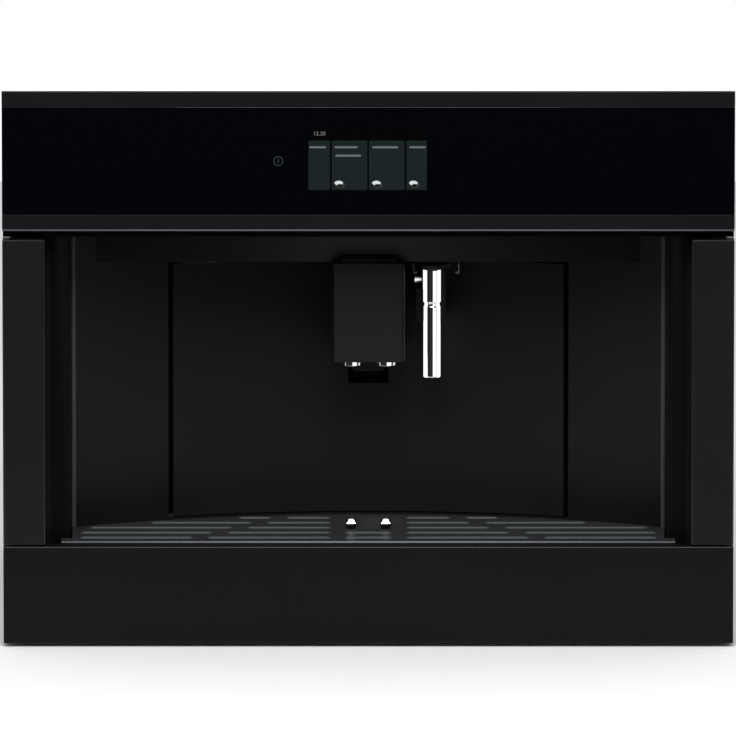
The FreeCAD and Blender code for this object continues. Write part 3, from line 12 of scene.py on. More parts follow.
# %% The construction model
import json
import math
import bmesh
import bpy
import numpy as np
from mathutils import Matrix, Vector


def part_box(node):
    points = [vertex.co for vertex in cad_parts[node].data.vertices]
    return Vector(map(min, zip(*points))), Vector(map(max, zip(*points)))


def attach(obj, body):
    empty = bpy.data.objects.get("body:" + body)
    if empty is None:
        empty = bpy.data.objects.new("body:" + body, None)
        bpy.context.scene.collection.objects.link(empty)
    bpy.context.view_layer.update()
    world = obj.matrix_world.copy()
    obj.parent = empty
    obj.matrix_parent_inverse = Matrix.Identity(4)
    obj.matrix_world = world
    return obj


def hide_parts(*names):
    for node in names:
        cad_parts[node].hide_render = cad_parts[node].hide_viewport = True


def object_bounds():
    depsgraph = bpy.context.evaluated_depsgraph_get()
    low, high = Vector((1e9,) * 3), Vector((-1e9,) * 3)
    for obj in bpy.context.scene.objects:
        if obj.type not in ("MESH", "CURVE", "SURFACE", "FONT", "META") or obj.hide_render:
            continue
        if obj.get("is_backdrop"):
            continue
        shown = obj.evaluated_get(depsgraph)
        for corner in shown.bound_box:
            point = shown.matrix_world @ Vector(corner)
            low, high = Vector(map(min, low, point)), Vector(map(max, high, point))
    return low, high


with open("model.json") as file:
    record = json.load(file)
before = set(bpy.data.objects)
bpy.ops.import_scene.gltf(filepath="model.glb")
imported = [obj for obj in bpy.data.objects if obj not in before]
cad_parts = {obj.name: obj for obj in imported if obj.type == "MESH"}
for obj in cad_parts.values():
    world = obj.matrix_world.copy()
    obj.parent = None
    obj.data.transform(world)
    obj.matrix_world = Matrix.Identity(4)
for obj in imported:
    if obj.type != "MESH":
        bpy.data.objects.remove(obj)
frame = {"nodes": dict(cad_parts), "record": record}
CAD_LOW, CAD_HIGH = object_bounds()
MM = 0.001
BODIES = frame["record"]["behaviour"]["bodies"]
BODY_OF = {node: body for body, members in BODIES.items() for node in members}
FRONT_Y = CAD_LOW.y
FOOT_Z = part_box("plinth_panel")[0].z


def at(across, depth, height):
    """A place in metres from millimetres: across, behind the front, above its lower edge."""
    return np.array([across * MM, FRONT_Y + depth * MM, FOOT_Z + height * MM])


# %% [markdown]
# ## Camera
#
# The front is seen almost without perspective, from about nine degrees above. A long lens from far
# away does that. The frame is 598 mm wide where it crosses the front.

# %% Camera
ELEVATION = math.radians(9.3)
CAMERA_DISTANCE = 12.5
FRAME_WIDTH = 0.5985
SENSOR = 36.0
NEAREST, FARTHEST = 1.0, 60.0
TARGET = at(-0.3, 0, 227.6)

lens = bpy.data.cameras.new("camera")
lens.sensor_width = SENSOR
lens.lens = SENSOR * CAMERA_DISTANCE / FRAME_WIDTH
lens.clip_start, lens.clip_end = NEAREST, FARTHEST
camera = bpy.data.objects.new("camera", lens)
toward_camera = np.array([0, -math.cos(ELEVATION), math.sin(ELEVATION)])
camera.location = TARGET + CAMERA_DISTANCE * toward_camera
camera.rotation_euler = (math.pi / 2 - ELEVATION, 0, 0)
bpy.context.scene.collection.objects.link(camera)
bpy.context.scene.camera = camera
print("lens", round(lens.lens), "mm")

# %% [markdown]
# ## Making a finish
#
# One function turns a colour as it is written on a screen into the linear value that the renderer
# counts in. Another adds a node with its settings and its links. A third starts every material in
# the same way, with a shader, an output and Object coordinates in metres. Two more add what nearly
# every finish has: a fine grain, and a slow drift of colour and gloss.

# %% Helpers for finishes
def linear(code, alpha=1.0):
    """A screen colour such as "1f1f22" as linear light, with the sRGB curve undone."""
    screen = np.array([int(code[i:i + 2], 16) for i in (0, 2, 4)]) / 255
    light = np.where(screen <= 0.04045, screen / 12.92, ((screen + 0.055) / 1.055) ** 2.4)
    return (*light.tolist(), alpha)


def add(tree, kind, sockets=None, **settings):
    """Adds one shader node: settings are its properties, sockets its values or what feeds them."""
    made = tree.nodes.new("ShaderNode" + kind)
    for name, setting in settings.items():
        setattr(made, name, setting)
    for name, value in (sockets or {}).items():
        if isinstance(value, bpy.types.NodeSocket):
            tree.links.new(value, made.inputs[name])
        else:
            made.inputs[name].default_value = value
    return made


FINISHES = {}


def start(name, **sockets):
    """A named material with its values set; gives its tree, its shader and its coordinates."""
    material = bpy.data.materials.new(name)
    material.use_nodes = True
    tree = material.node_tree
    tree.nodes.clear()
    shader = add(tree, "BsdfPrincipled", {k.replace("_", " "): v for k, v in sockets.items()})
    add(tree, "OutputMaterial", {"Surface": shader.outputs["BSDF"]})
    FINISHES[name] = material
    return tree, shader, add(tree, "TexCoord").outputs["Object"]


def grain(tree, shader, place, spacing, depth):
    """Fine relief: noise with one bump every spacing millimetres, depth millimetres high."""
    noise = add(tree, "TexNoise", {"Vector": place, "Scale": 1 / (spacing * MM), "Detail": 2.0})
    bump = add(tree, "Bump", {"Height": noise.outputs["Fac"], "Distance": depth * MM,
                              "Strength": 1.0})
    tree.links.new(bump.outputs["Normal"], shader.inputs["Normal"])


def mottle(tree, shader, place, spacing, colours, roughness):
    """Slow changes over the surface: colour and gloss drift between two values."""
    noise = add(tree, "TexNoise", {"Vector": place, "Scale": 1 / (spacing * MM), "Detail": 3.0})
    dark, light = (linear(c) for c in colours)
    blend = add(tree, "MixRGB", {"Fac": noise.outputs["Fac"], "Color1": dark, "Color2": light})
    gloss = add(tree, "MapRange", {"Value": noise.outputs["Fac"], "To Min": roughness[0],
                                   "To Max": roughness[1]})
    tree.links.new(blend.outputs["Color"], shader.inputs["Base Color"])
    tree.links.new(gloss.outputs["Result"], shader.inputs["Roughness"])

# %% [markdown]
# ## Black steel
#
# Handles, plinth, trims and the spout's hood are stainless steel with a black coat on a blasted
# surface. The coat is a dielectric, so it isn't metallic. It has a dark body colour, a weak gloss
# and a grit of about a third of a millimetre, which is drawn at 0.7 mm because finer grit wouldn't
# show. Each panel drifts a little in colour. The handles and the hood take lighter copies of the
# coat: painted light.

# %% Coated steel
PANEL_DRIFT = 90
GRIT, GRIT_HIGH = 0.7, 0.004


def coated_steel(name, colours, roughness, specular):
    """Black coat on blasted steel: dark body, weak wide gloss and fine grit."""
    tree, shader, place = start(name, Specular_IOR_Level=specular, IOR=1.5)
    mottle(tree, shader, place, PANEL_DRIFT, colours, roughness)
    grain(tree, shader, place, GRIT, GRIT_HIGH)


coated_steel("black steel front", ("0c0d0d", "101111"), (0.36, 0.44), 0.13)
coated_steel("black steel trim", ("131315", "171719"), (0.30, 0.36), 0.15)
# Lighter copies of the coat, painted light, for the handles and the spout's hood.
coated_steel("black steel handle", ("151717", "191b1b"), (0.34, 0.42), 0.15)
coated_steel("black steel spout", ("1c1e1f", "202223"), (0.32, 0.38), 0.17)

# %% [markdown]
# ## Moulded plastics
#
# The alcove and its door are polycarbonate blend with a fine spark-eroded texture. The grille is
# the same plastic in a lighter grey, with a flatter texture and a stronger gloss. The tray, the
# hopper and the parts inside are plain black or grey ABS.

# %% Moulded plastics
MOULD_DRIFT = 120


def moulded(name, colours, roughness, specular, spacing=0.8, depth=0.006):
    """Injection moulding: even colour, gloss set by the mould's texture."""
    tree, shader, place = start(name, Specular_IOR_Level=specular, IOR=1.52)
    mottle(tree, shader, place, MOULD_DRIFT, colours, roughness)
    grain(tree, shader, place, spacing, depth)


moulded("alcove plastic", ("111113", "151517"), (0.32, 0.40), 0.18)
moulded("door plastic", ("141416", "18181a"), (0.34, 0.42), 0.15)
# Also on the spout hood's flat top, as painted shade.
moulded("header plastic", ("141417", "18181b"), (0.40, 0.48), 0.06)
# A lighter copy of the alcove plastic: a painted highlight along the hollow corners.
moulded("corner plastic", ("3a3b3e", "3f4043"), (0.30, 0.36), 0.30)
# A darker copy of the alcove plastic: painted shade on the flange behind the handles.
moulded("flange plastic", ("050506", "070708"), (0.45, 0.55), 0.08)
moulded("grille plastic", ("303234", "35373a"), (0.30, 0.36), 0.36, 1.4, 0.002)
# Lit and shaded copies of the grille plastic for the slot walls: painted light, then painted shade.
moulded("slot wall painted light", ("5c6061", "646869"), (0.30, 0.40), 0.30)
moulded("slot shade", ("1c1d1f", "202123"), (0.40, 0.50), 0.15)
moulded("tray plastic", ("0b0b0c", "0f0f11"), (0.34, 0.44), 0.20)
moulded("black plastic", ("08080a", "0c0c0e"), (0.38, 0.50), 0.20)
# Also painted shade on the spout hood's neck and in the drain inlets' mouths.
moulded("socket plastic", ("070708", "0a0a0b"), (0.45, 0.55), 0.20)
# Near-black for the strip that is painted shade under the control panel.
moulded("painted shade black", ("020203", "030304"), (0.60, 0.70), 0.06)
moulded("grey plastic", ("2c2e30", "343638"), (0.36, 0.44), 0.25)

# %% [markdown]
# ## Polished and plain metals
#
# Chrome on the hot water tube and the nozzles is almost a mirror, and the release button's is
# satin. The rounded edges of the black parts take a lighter bare-metal finish, a painted
# highlight that draws a line of light along them. The carcase is zinc-coated sheet, whose
# crystals are 5 to 12 mm wide and differ in brightness, so a cell pattern draws them.

# %% Metals
WAVE_LONG, WAVE_HIGH = 6, 0.0006
ZINC_ROUGHNESS = (0.34, 0.48)
CAST_DRIFT, CAST_ROUGHNESS, CAST_PIT = 30, (0.42, 0.55), 0.02


def polished(name, colour, roughness):
    """Chrome or bare steel: metallic, with the faint waviness of polishing."""
    tree, shader, place = start(name, Metallic=1.0, Base_Color=linear(colour),
                                Roughness=roughness)
    grain(tree, shader, place, WAVE_LONG, WAVE_HIGH)


def zinc_coated(name, colours, cell):
    """Galvanised sheet: each crystal of the coat is one cell of a Voronoi pattern."""
    tree, shader, place = start(name, Metallic=1.0)
    cells = add(tree, "TexVoronoi", {"Vector": place, "Scale": 1 / (cell * MM)})
    spark = add(tree, "SeparateColor", {"Color": cells.outputs["Color"]})
    dark, light = (linear(c) for c in colours)
    blend = add(tree, "MixRGB", {"Fac": spark.outputs["Red"], "Color1": dark, "Color2": light})
    gloss = add(tree, "MapRange", {"Value": spark.outputs["Green"], "To Min": ZINC_ROUGHNESS[0],
                                   "To Max": ZINC_ROUGHNESS[1]})
    tree.links.new(blend.outputs["Color"], shader.inputs["Base Color"])
    tree.links.new(gloss.outputs["Result"], shader.inputs["Roughness"])


def cast_metal(name, colours, spacing):
    """Cast or pressed metal with a matt, slightly pitted skin."""
    tree, shader, place = start(name, Metallic=1.0)
    mottle(tree, shader, place, CAST_DRIFT, colours, CAST_ROUGHNESS)
    grain(tree, shader, place, spacing, CAST_PIT)


polished("chrome", "d9dadb", 0.03)
polished("satin chrome", "d9dadb", 0.45)
polished("polished lip", "2c2d31", 0.40)
polished("tray lip steel", "28292b", 0.26)
polished("inlet steel", "c4c6c8", 0.16)
# Lighter metals for the rounded edges of the black parts: painted highlight lines.
polished("cut edge", "3c3e40", 0.36)
polished("plinth edge", "37393a", 0.36)
polished("bright screw", "c2c4c6", 0.28)
polished("clip steel", "8b8d90", 0.45)
zinc_coated("zinc-coated steel", ("8d9092", "a8abad"), 7)
cast_metal("cast aluminium", ("96979a", "aaabad"), 1.2)
cast_metal("coated magnet", ("0d0d0f", "121214"), 0.8)

# %% [markdown]
# ## Glass, display and boards
#
# The control panel is black back-printed glass. Nothing is seen through it, so it is an opaque
# black body under a hard smooth gloss. Display tiles are dim grey areas that shine a little by
# themselves.

# %% Glass and display
RIPPLE, RIPPLE_HIGH = 30, 0.001
BACKLIGHT_DRIFT = 14
TRACK_PATTERN = 10  # a brick is a quarter as high, so the tracks lie 2.5 mm apart
TANK_WAVE, TANK_WAVE_HIGH = 8, 0.004


def black_glass(name):
    """Back-printed glass: a near-black body and a smooth gloss with the faintest float ripple."""
    tree, shader, place = start(name, Specular_IOR_Level=0.30, IOR=1.5,
                                Base_Color=linear("020306"), Roughness=0.035)
    grain(tree, shader, place, RIPPLE, RIPPLE_HIGH)


def lit_area(name, colours, strength):
    """A lit part of the display: a glow over a dark body, a little uneven like a backlight."""
    tree, shader, place = start(name, Specular_IOR_Level=0.2, Roughness=0.2,
                                Emission_Strength=strength)
    noise = add(tree, "TexNoise", {"Vector": place, "Scale": 1 / (BACKLIGHT_DRIFT * MM),
                                   "Detail": 1.0})
    dark, light = (linear(c) for c in colours)
    blend = add(tree, "MixRGB", {"Fac": noise.outputs["Fac"], "Color1": dark, "Color2": light})
    tree.links.new(blend.outputs["Color"], shader.inputs["Base Color"])
    tree.links.new(blend.outputs["Color"], shader.inputs["Emission Color"])


def circuit_board(name):
    """Solder mask over copper tracks, which are the rows of a brick pattern."""
    tree, shader, place = start(name, Roughness=0.35)
    tracks = add(tree, "TexBrick", {"Vector": place, "Scale": 1 / (TRACK_PATTERN * MM),
                                    "Mortar Size": 0.03, "Color1": linear("1d4a30"),
                                    "Color2": linear("1a442c"), "Mortar": linear("2c6b45")})
    tree.links.new(tracks.outputs["Color"], shader.inputs["Base Color"])


def smoked_clear(name):
    """Clear polycarbonate with a smoke tint."""
    tree, shader, place = start(name, Transmission_Weight=0.85, IOR=1.5, Roughness=0.08,
                                Base_Color=linear("aeb6ba"))
    grain(tree, shader, place, TANK_WAVE, TANK_WAVE_HIGH)


black_glass("control glass")
lit_area("screen black", ("020203", "030304"), 0.05)
lit_area("display tile", ("12191a", "151c1d"), 0.5)
lit_area("display white", ("a9adae", "b6babb"), 0.5)
lit_area("display bar", ("4f5354", "595d5e"), 0.5)
lit_area("display clock", ("585c5d", "626667"), 0.5)
lit_area("display grey", ("2c2f30", "343738"), 0.4)
lit_area("display coffee", ("17100d", "1f1612"), 0.2)
circuit_board("circuit board")
smoked_clear("smoked plastic")
print(len(FINISHES), "finishes")

# %% [markdown]
# ## Rounded copies of the solids
#
# Sheet metal and mouldings never have knife edges, and on a black object the thin bright line along
# an edge is what the eye reads as its shape. The construction solids have sharp edges, so a copy of
# each visible one is merged, cleaned of needless edges and bevelled. The copy replaces the node.

# %% Rounded copies
def join(name, mesh, finishes, body):
    """Turns a mesh into a piece: linked, dressed, riding on its body."""
    piece = bpy.data.objects.new(name, mesh)
    bpy.context.scene.collection.objects.link(piece)
    mesh.materials.clear()
    for finish in finishes:
        mesh.materials.append(FINISHES[finish])
    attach(piece, body)
    return piece


def smooth(mesh, angle=30):
    """Smooth shading, except over edges that turn by more than the angle."""
    mesh.shade_smooth()
    mesh.set_sharp_from_angle(angle=math.radians(angle))


WELD_COPY = 0.002  # millimetres within which a copy's corners are joined
FLAT_ANGLE, EDGE_ANGLE, EDGE_SEGMENTS = 0.4, 30, 2


def merged_copy(node):
    """A copy of a node's mesh with its loose triangles joined, open for editing."""
    mesh = frame["nodes"][node].data.copy()
    mesh.name = node + "_rounded"
    work = bmesh.new()
    work.from_mesh(mesh)
    bmesh.ops.remove_doubles(work, verts=work.verts, dist=WELD_COPY * MM)
    return mesh, work


def bevelled(face):
    """True for a slanting face along an edge: two parts of its normal are alike and large."""
    sizes = sorted(abs(part) for part in face.normal)
    return sizes[1] > 0.5 and sizes[2] < 0.87 and sizes[0] < 0.1


def rounded(node, finish, width, edge=None, others=None):
    """A copy of a node with edges rounded to about the width in millimetres.

    Where edge names a finish, the rounded edges and the slanting faces take it. others pairs
    further finishes with tests, and a face takes the first one whose test it passes."""
    mesh, work = merged_copy(node)
    if node not in PIERCED:
        bmesh.ops.dissolve_limit(work, angle_limit=math.radians(FLAT_ANGLE), verts=work.verts,
                                 edges=work.edges)
    others = others or ([(edge, bevelled)] if edge else [])
    work.normal_update()
    picked = [next((i + 1 for i, (_, test) in enumerate(others) if test(face)), 0)
              for face in work.faces]
    work.to_mesh(mesh)
    work.free()
    smooth(mesh, EDGE_ANGLE)
    finishes = [finish] + [other for other, _ in others]
    piece = join(node + "_rounded", mesh, finishes, BODY_OF[node])
    mesh.polygons.foreach_set("material_index", picked)
    if width:
        bevel = piece.modifiers.new("edges", "BEVEL")
        bevel.width = width * MM
        bevel.segments = EDGE_SEGMENTS
        bevel.limit_method = "ANGLE"
        bevel.angle_limit = math.radians(EDGE_ANGLE)
        bevel.harden_normals = True
        bevel.miter_outer = "MITER_ARC"
        bevel.material = 1 if edge else -1
    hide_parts(node)
    return piece


# %% Tests for the faces that take another finish
FACING = 0.9  # least part of a normal for a face that looks one way
FLANGE_REAR, CORNER_FROM, NECK_FOOT, HOOD_TOP = 31, 236, 303, 305


def on_flange(face):
    """True for the front flange of the alcove shell, in the handles' shade: it takes painted shade.
    """
    return face.calc_center_median().y < at(0, FLANGE_REAR, 0)[1] and face.normal.y < -FACING


def in_corner(face):
    """True for the upright 8 mm curve between a side wall and the rear wall: painted highlight."""
    beside = abs(face.calc_center_median().x) > CORNER_FROM * MM
    return beside and 0.52 < -face.normal.y < 0.97 and abs(face.normal.z) < 0.1


def on_top(face):
    """True for the hood's flat top, which lies in shade and takes the header's finish as painted
    shade.
    """
    return face.normal.z > FACING and face.calc_center_median().z > at(0, 0, HOOD_TOP)[2]


def at_neck(face):
    """True for the step on top of the hood, which slides behind the header: painted shade."""
    return face.calc_center_median().z > at(0, 0, NECK_FOOT)[2]


def upright(face):
    """True for a wall of a slot, a mouth or the plate's rim, which takes painted shade."""
    return abs(face.normal.z) < 0.5


PIERCED = ("cup_grille",)
ROUNDED = {
    # Edge finishes here paint a highlight along the rounded edges.
    "plinth_panel": ("black steel front", 0.4, "plinth edge"),
    "handle_left": ("black steel handle", 0.5, "cut edge"),
    "handle_right": ("black steel handle", 0.5, "cut edge"),
    "trim_top": ("black steel trim", 0.3), "trim_bottom": ("black steel trim", 0.3),
    "control_glass": ("control glass", 0.3),
    "header_fascia": ("header plastic", 0.5), "service_door": ("door plastic", 0.6),
    # The alcove's front flange takes painted shade, its hollow corners a painted highlight.
    "alcove_shell": ("alcove plastic", 0, None,
                     [("flange plastic", on_flange), ("corner plastic", in_corner)]),
    # The hood's top and neck take painted shade, its slanting edges a painted highlight.
    "spout_cover": ("black steel spout", 0.5, None,
                    [("header plastic", on_top), ("socket plastic", at_neck),
                     ("cut edge", bevelled)]),
    "spout_base": ("black plastic", 0.5),
    "water_connector": ("black plastic", 0.8, "cut edge"),
    "water_spout_body": ("black plastic", 1.0), "water_spout_cap": ("grey plastic", 0.8),
    "release_button": ("satin chrome", 0.5),
    "spout_nozzles": ("chrome", 0.5), "drip_tray": ("tray plastic", 0.4),
    # The grille's upright walls take painted shade.
    "cup_grille": ("grille plastic", 0, None, [("slot shade", upright)]),
}
for node, how in ROUNDED.items():
    rounded(node, *how)
print(len(ROUNDED), "rounded copies")

# %% [markdown]
# ## The nodes that stay
#
# Everything else keeps its solid and only gets its finish, through the object's material slot.

# %% Finishes of the other nodes
PLAIN = {
    "black steel front": ["front_frame"],
    "zinc-coated steel": ["chassis_base", "side_panel_left", "side_panel_right",
                          "rear_panel", "top_cover", "rail_outer", "rail_middle", "rail_inner",
                          "runner_base", "grinder_stand", "infuser_bracket", "hinge_brackets",
                          "tank_hinge", "lid_hinges"],
    "black plastic": ["panel_housing", "spout_carriage", "bean_hopper", "bean_lid", "ground_chute",
                      "chute_lid", "grind_dial", "grounds_bin", "brew_deck", "tank_dock", "pump",
                      "grinder"],
    "socket plastic": ["mains_inlet", "switch_frame", "main_switch"],
    "grey plastic": ["infuser", "tank_lid"],
    "smoked plastic": ["water_tank"],
    "circuit board": ["control_board", "power_board"],
    "display tile": ["display_module"],
    "cast aluminium": ["boiler"],
    "coated magnet": ["door_magnet"],
}
for finish, nodes in PLAIN.items():
    for node in nodes:
        for place in frame["nodes"][node].material_slots:
            place.link = "OBJECT"
            place.material = FINISHES[finish]
print(sum(len(nodes) for nodes in PLAIN.values()), "plain nodes")

# %% [markdown]
# ## Surfaces from arrays
#
# The small pieces are surfaces of two parameters. Points are worked out as one array of rows and
# columns, and a face is laid between each four neighbours. A row whose points are all alike closes
# the surface in a pole.

# %% A skin over a grid of points
WELD_SKIN = 0.001  # millimetres within which a skin's corners are joined


def skin(name, grids, body, finish, around=True, angle=40):
    """A piece from one or several grids of points in metres, each row joined to the next one.

    around joins each row's last point to its first."""
    points, faces, first = [], [], 0
    for grid in grids:
        rows, columns = grid.shape[:2]
        index = first + np.arange(rows * columns).reshape(rows, columns)
        if around:
            index = np.hstack([index, index[:, :1]])
        quads = np.stack([index[:-1, :-1], index[:-1, 1:], index[1:, 1:], index[1:, :-1]], axis=-1)
        points.append(grid.reshape(-1, 3))
        faces.append(quads.reshape(-1, 4))
        first += rows * columns
    mesh = bpy.data.meshes.new(name)
    mesh.from_pydata(np.concatenate(points).tolist(), [], np.concatenate(faces).tolist())
    work = bmesh.new()
    work.from_mesh(mesh)
    bmesh.ops.remove_doubles(work, verts=work.verts, dist=WELD_SKIN * MM)
    bmesh.ops.recalc_face_normals(work, faces=work.faces)
    work.to_mesh(mesh)
    work.free()
    smooth(mesh, angle)
    return join(name, mesh, [finish], body)


def oblong(long, high, radius, count=32):
    """An outline round a rectangle with round corners: each corner is a quarter of a circle."""
    turn = (np.arange(count) + 0.5) * 2 * math.pi / count
    across, rise = np.cos(turn), np.sin(turn)
    return np.stack([np.sign(across) * (long / 2 - radius) + radius * across,
                     np.sign(rise) * (high / 2 - radius) + radius * rise], axis=-1)


SOFT_RIM = 0.1


def tile(middle, long, high, radius, front, proud):
    """Rows of a thin plate that faces the camera, from its back edge over the rim to its middle.

    middle is (across, height), front the depth of what carries it, proud its thickness, in mm."""
    rim = min(SOFT_RIM * 2, radius * 0.5)
    steps = ((0.0, 0.0, 0.0), (1.0, 0.0, 0.0), (1.0, 0.0, 1 - SOFT_RIM), (1.0, rim, 1.0),
             (0.96, rim, 1.0), (0.0, rim, 1.0))
    rows = []
    for share, inset, lift in steps:
        outline = share * oblong(long - 2 * inset, high - 2 * inset, max(radius - inset, 0.02))
        depth = np.full(len(outline), front - proud * lift)
        rows.append(np.stack([middle[0] + outline[:, 0], depth, middle[1] + outline[:, 1]],
                             axis=-1))
    return placed(np.array(rows))


def placed(grid):
    """A grid given as (across, depth, height) in millimetres, put where the machine stands."""
    return grid * MM + np.array([0, FRONT_Y, FOOT_Z])


def turned(profile, foot, count):
    """Rows of a turned piece: a profile of (radius, height) carried round an upright axis."""
    profile = np.array(profile, float)
    turn = np.arange(count) * 2 * math.pi / count
    rise = np.repeat(profile[:, 1:], count, axis=1)
    rows = np.stack([profile[:, :1] * np.cos(turn), profile[:, :1] * np.sin(turn), rise], axis=-1)
    return placed(rows + np.array(foot, float))

# %% [markdown]
# ## Display
#
# The display lies behind the glass, so the eye sees only areas of light that end sharply. Four
# tiles show the drinks, the outer two cut by the screen's edge. The words on them are plain bars
# here, and the clock keeps its plain digits.

# %% Places read from the photograph
PIXEL = 0.8125
MIDDLE_PX = 368.4
FOOT_PX, RISE_PX, DEPTH_PX = 644.5, 1.2146, 0.1989
GLASS = 0.3


def seen_at(x_px, y_px, depth=GLASS):
    """(across, height) in millimetres of a pixel of the photograph, at a depth behind the front."""
    return (x_px - MIDDLE_PX) * PIXEL, (FOOT_PX - y_px - DEPTH_PX * depth) / RISE_PX


def panel_area(left, right, top, bottom, radius, front, proud=0.04):
    """A tile over an area of the photograph, given by its four sides in pixels."""
    x0, z1 = seen_at(left, top)
    x1, z0 = seen_at(right, bottom)
    return tile(((x0 + x1) / 2, (z0 + z1) / 2), x1 - x0, z1 - z0, radius, front, proud)


# %% Tiles and bars
SCREEN = (308.0, 427.4, 129.0, 191.0)
TILES = [(308.6, 330.0), (331.8, 367.3), (369.1, 404.5), (406.4, 426.8)]
TILE_TOP, TILE_FOOT = 141.0, 190.2
BARS = [(309.6, 326, 147.6), (334.6, 357.5, 147.6), (335.4, 361, 156), (372.4, 398, 147.6),
        (409.4, 425.6, 147.6)]
BAR_HIGH = 2.0
TILE_FRONT, BAR_FRONT = GLASS - 0.02, GLASS - 0.05
skin("display_screen", [panel_area(*SCREEN, 1.0, GLASS, 0.03)], "machine", "screen black")
skin("display_tiles", [panel_area(a, b, TILE_TOP, TILE_FOOT, 0.9, TILE_FRONT) for a, b in TILES],
     "machine", "display tile")
skin("display_bars", [panel_area(a, b, y - BAR_HIGH / 2, y + BAR_HIGH / 2, 0.5, BAR_FRONT)
                      for a, b, y in BARS], "machine", "display bar")
print(len(TILES), "tiles,", len(BARS), "bars")

# %% Cups on the tiles
CUPS = [(338.8, 184.3), (376.4, 184.3), (413.4, 184.3)]
# Name and finish of each part, its place across and above the cup's, its width and height, and how
# far it stands before the glass.
CUP_PARTS = [("display_saucers", "display grey", 1.2, -0.5, 7.6, 5.4, 0.05),
             ("display_bowls", "display white", 0.0, 0.9, 6.8, 3.6, 0.07),
             ("display_coffee", "display coffee", 0.9, -1.2, 4.4, 2.6, 0.08)]


def disc(middle, wide, high, front, proud=0.02, count=40):
    """Rows of a flat oval from the middle of its back over the rim to the middle of its front."""
    turn = np.arange(count) * 2 * math.pi / count
    across, rise = wide / 2 * np.cos(turn), high / 2 * np.sin(turn)
    rows = []
    for share, lift in ((0.0, 0.0), (1.0, 0.0), (1.0, 0.8), (0.97, 1.0), (0.0, 1.0)):
        rows.append(np.stack([middle[0] + share * across, np.full(count, front - proud * lift),
                              middle[1] + share * rise], axis=-1))
    return placed(np.array(rows))


cup_places = [seen_at(*cup) for cup in CUPS]
for name, finish, aside, above, wide, high, before in CUP_PARTS:
    skin(name, [disc((x + aside, z + above), wide, high, GLASS - before) for x, z in cup_places],
         "machine", finish)

# %% Power mark
POWER_PX = (278.5, 161.4)
RING_OUT, RING_IN, RING_PROUD, RING_POINTS = 3.9, 3.35, 0.04, 48
POWER_BAR = (0.75, 3.4, 0.3)
x, z = seen_at(*POWER_PX)
ring_turn = np.arange(RING_POINTS) * 2 * math.pi / RING_POINTS
ring_steps = ((RING_IN, 0.0), (RING_IN, RING_PROUD), (RING_OUT, RING_PROUD), (RING_OUT, 0.0),
              (RING_IN, 0.0))
ring_rows = [np.stack([x + r * np.cos(ring_turn), np.full(RING_POINTS, GLASS - d),
                       z + r * np.sin(ring_turn)], axis=-1) for r, d in ring_steps]
skin("power_mark", [placed(np.array(ring_rows)), tile((x, z), *POWER_BAR, GLASS, RING_PROUD)],
     "machine", "display grey")

# %% Clock digits
CLOCK_PX = (319.5, 134.2)
DIGIT_SIZE, DIGIT_PROUD = 4.5, 0.02
writing = bpy.data.curves.new("clock", "FONT")
writing.body = "12.30"
writing.size = DIGIT_SIZE * MM
writing.align_x, writing.align_y = "CENTER", "CENTER"
writing.extrude = DIGIT_PROUD * MM
writing_object = bpy.data.objects.new("clock_text", writing)
bpy.context.scene.collection.objects.link(writing_object)
bpy.context.view_layer.update()
evaluated = writing_object.evaluated_get(bpy.context.evaluated_depsgraph_get())
clock_mesh = bpy.data.meshes.new_from_object(evaluated)
bpy.data.objects.remove(writing_object)
x, z = seen_at(*CLOCK_PX)
stand_up = Matrix.Rotation(math.pi / 2, 4, "X")
to_panel = Matrix.Translation(Vector(at(x, GLASS - 0.05, z).tolist()))
clock_mesh.transform(to_panel @ stand_up)
join("clock", clock_mesh, ["display clock"], "machine")

# %% [markdown]
# ## Cup grille
#
# Each drain slot has round ends and a small chamfer. Seen from nine degrees above, only the far
# wall of a slot shows, as a thin light bar. A liner stands in each square slot of the solid: its
# rim starts as the square, turns into the oblong and ends in the chamfer. Under the rim comes a
# wall in a lighter copy of the grille plastic, painted light, and under that one in a darker copy,
# painted shade, because light reaches only the upper part.

# %% Slot liners
GRILLE_TOP = 82.0
ALCOVE_HALF, ALCOVE_RADIUS, ALCOVE_DEPTH = 244.0, 513.0, 146.0
SLOT_ROWS, FIRST_SLOT, SLOT_PITCH, SLOT_SIZE = 5, 32.0, 23.6, 9.0
BRIDGE, BRIDGE_START, BRIDGE_SHIFT = 10.5, 73.6, 15.9
CENTRE_LAND, CENTRE_SLOT, SIDE_LAND, REAR_LAND = 60.0, 40.0, 8.0, 16.0
CENTRE_ROWS = 2
RIM_OVERLAP, TO_SQUARE = 0.3, 1.5


def slot_cells():
    """Depth and X range of each slot: rows of two a side, split by a bridge that steps outward."""
    for row in range(SLOT_ROWS):
        depth = FIRST_SLOT + row * SLOT_PITCH
        split = BRIDGE_START + (SLOT_ROWS - 1 - row) * BRIDGE_SHIFT
        arc = ALCOVE_RADIUS ** 2 - (depth + SLOT_SIZE / 2 - ALCOVE_DEPTH + ALCOVE_RADIUS) ** 2
        end = min(ALCOVE_HALF - SIDE_LAND, math.sqrt(arc) - REAR_LAND)
        for a, b in ((CENTRE_LAND / 2, split - BRIDGE / 2), (split + BRIDGE / 2, end)):
            yield depth, a, b
            yield depth, -b, -a
        if row < CENTRE_ROWS:
            yield depth, -CENTRE_SLOT / 2, CENTRE_SLOT / 2


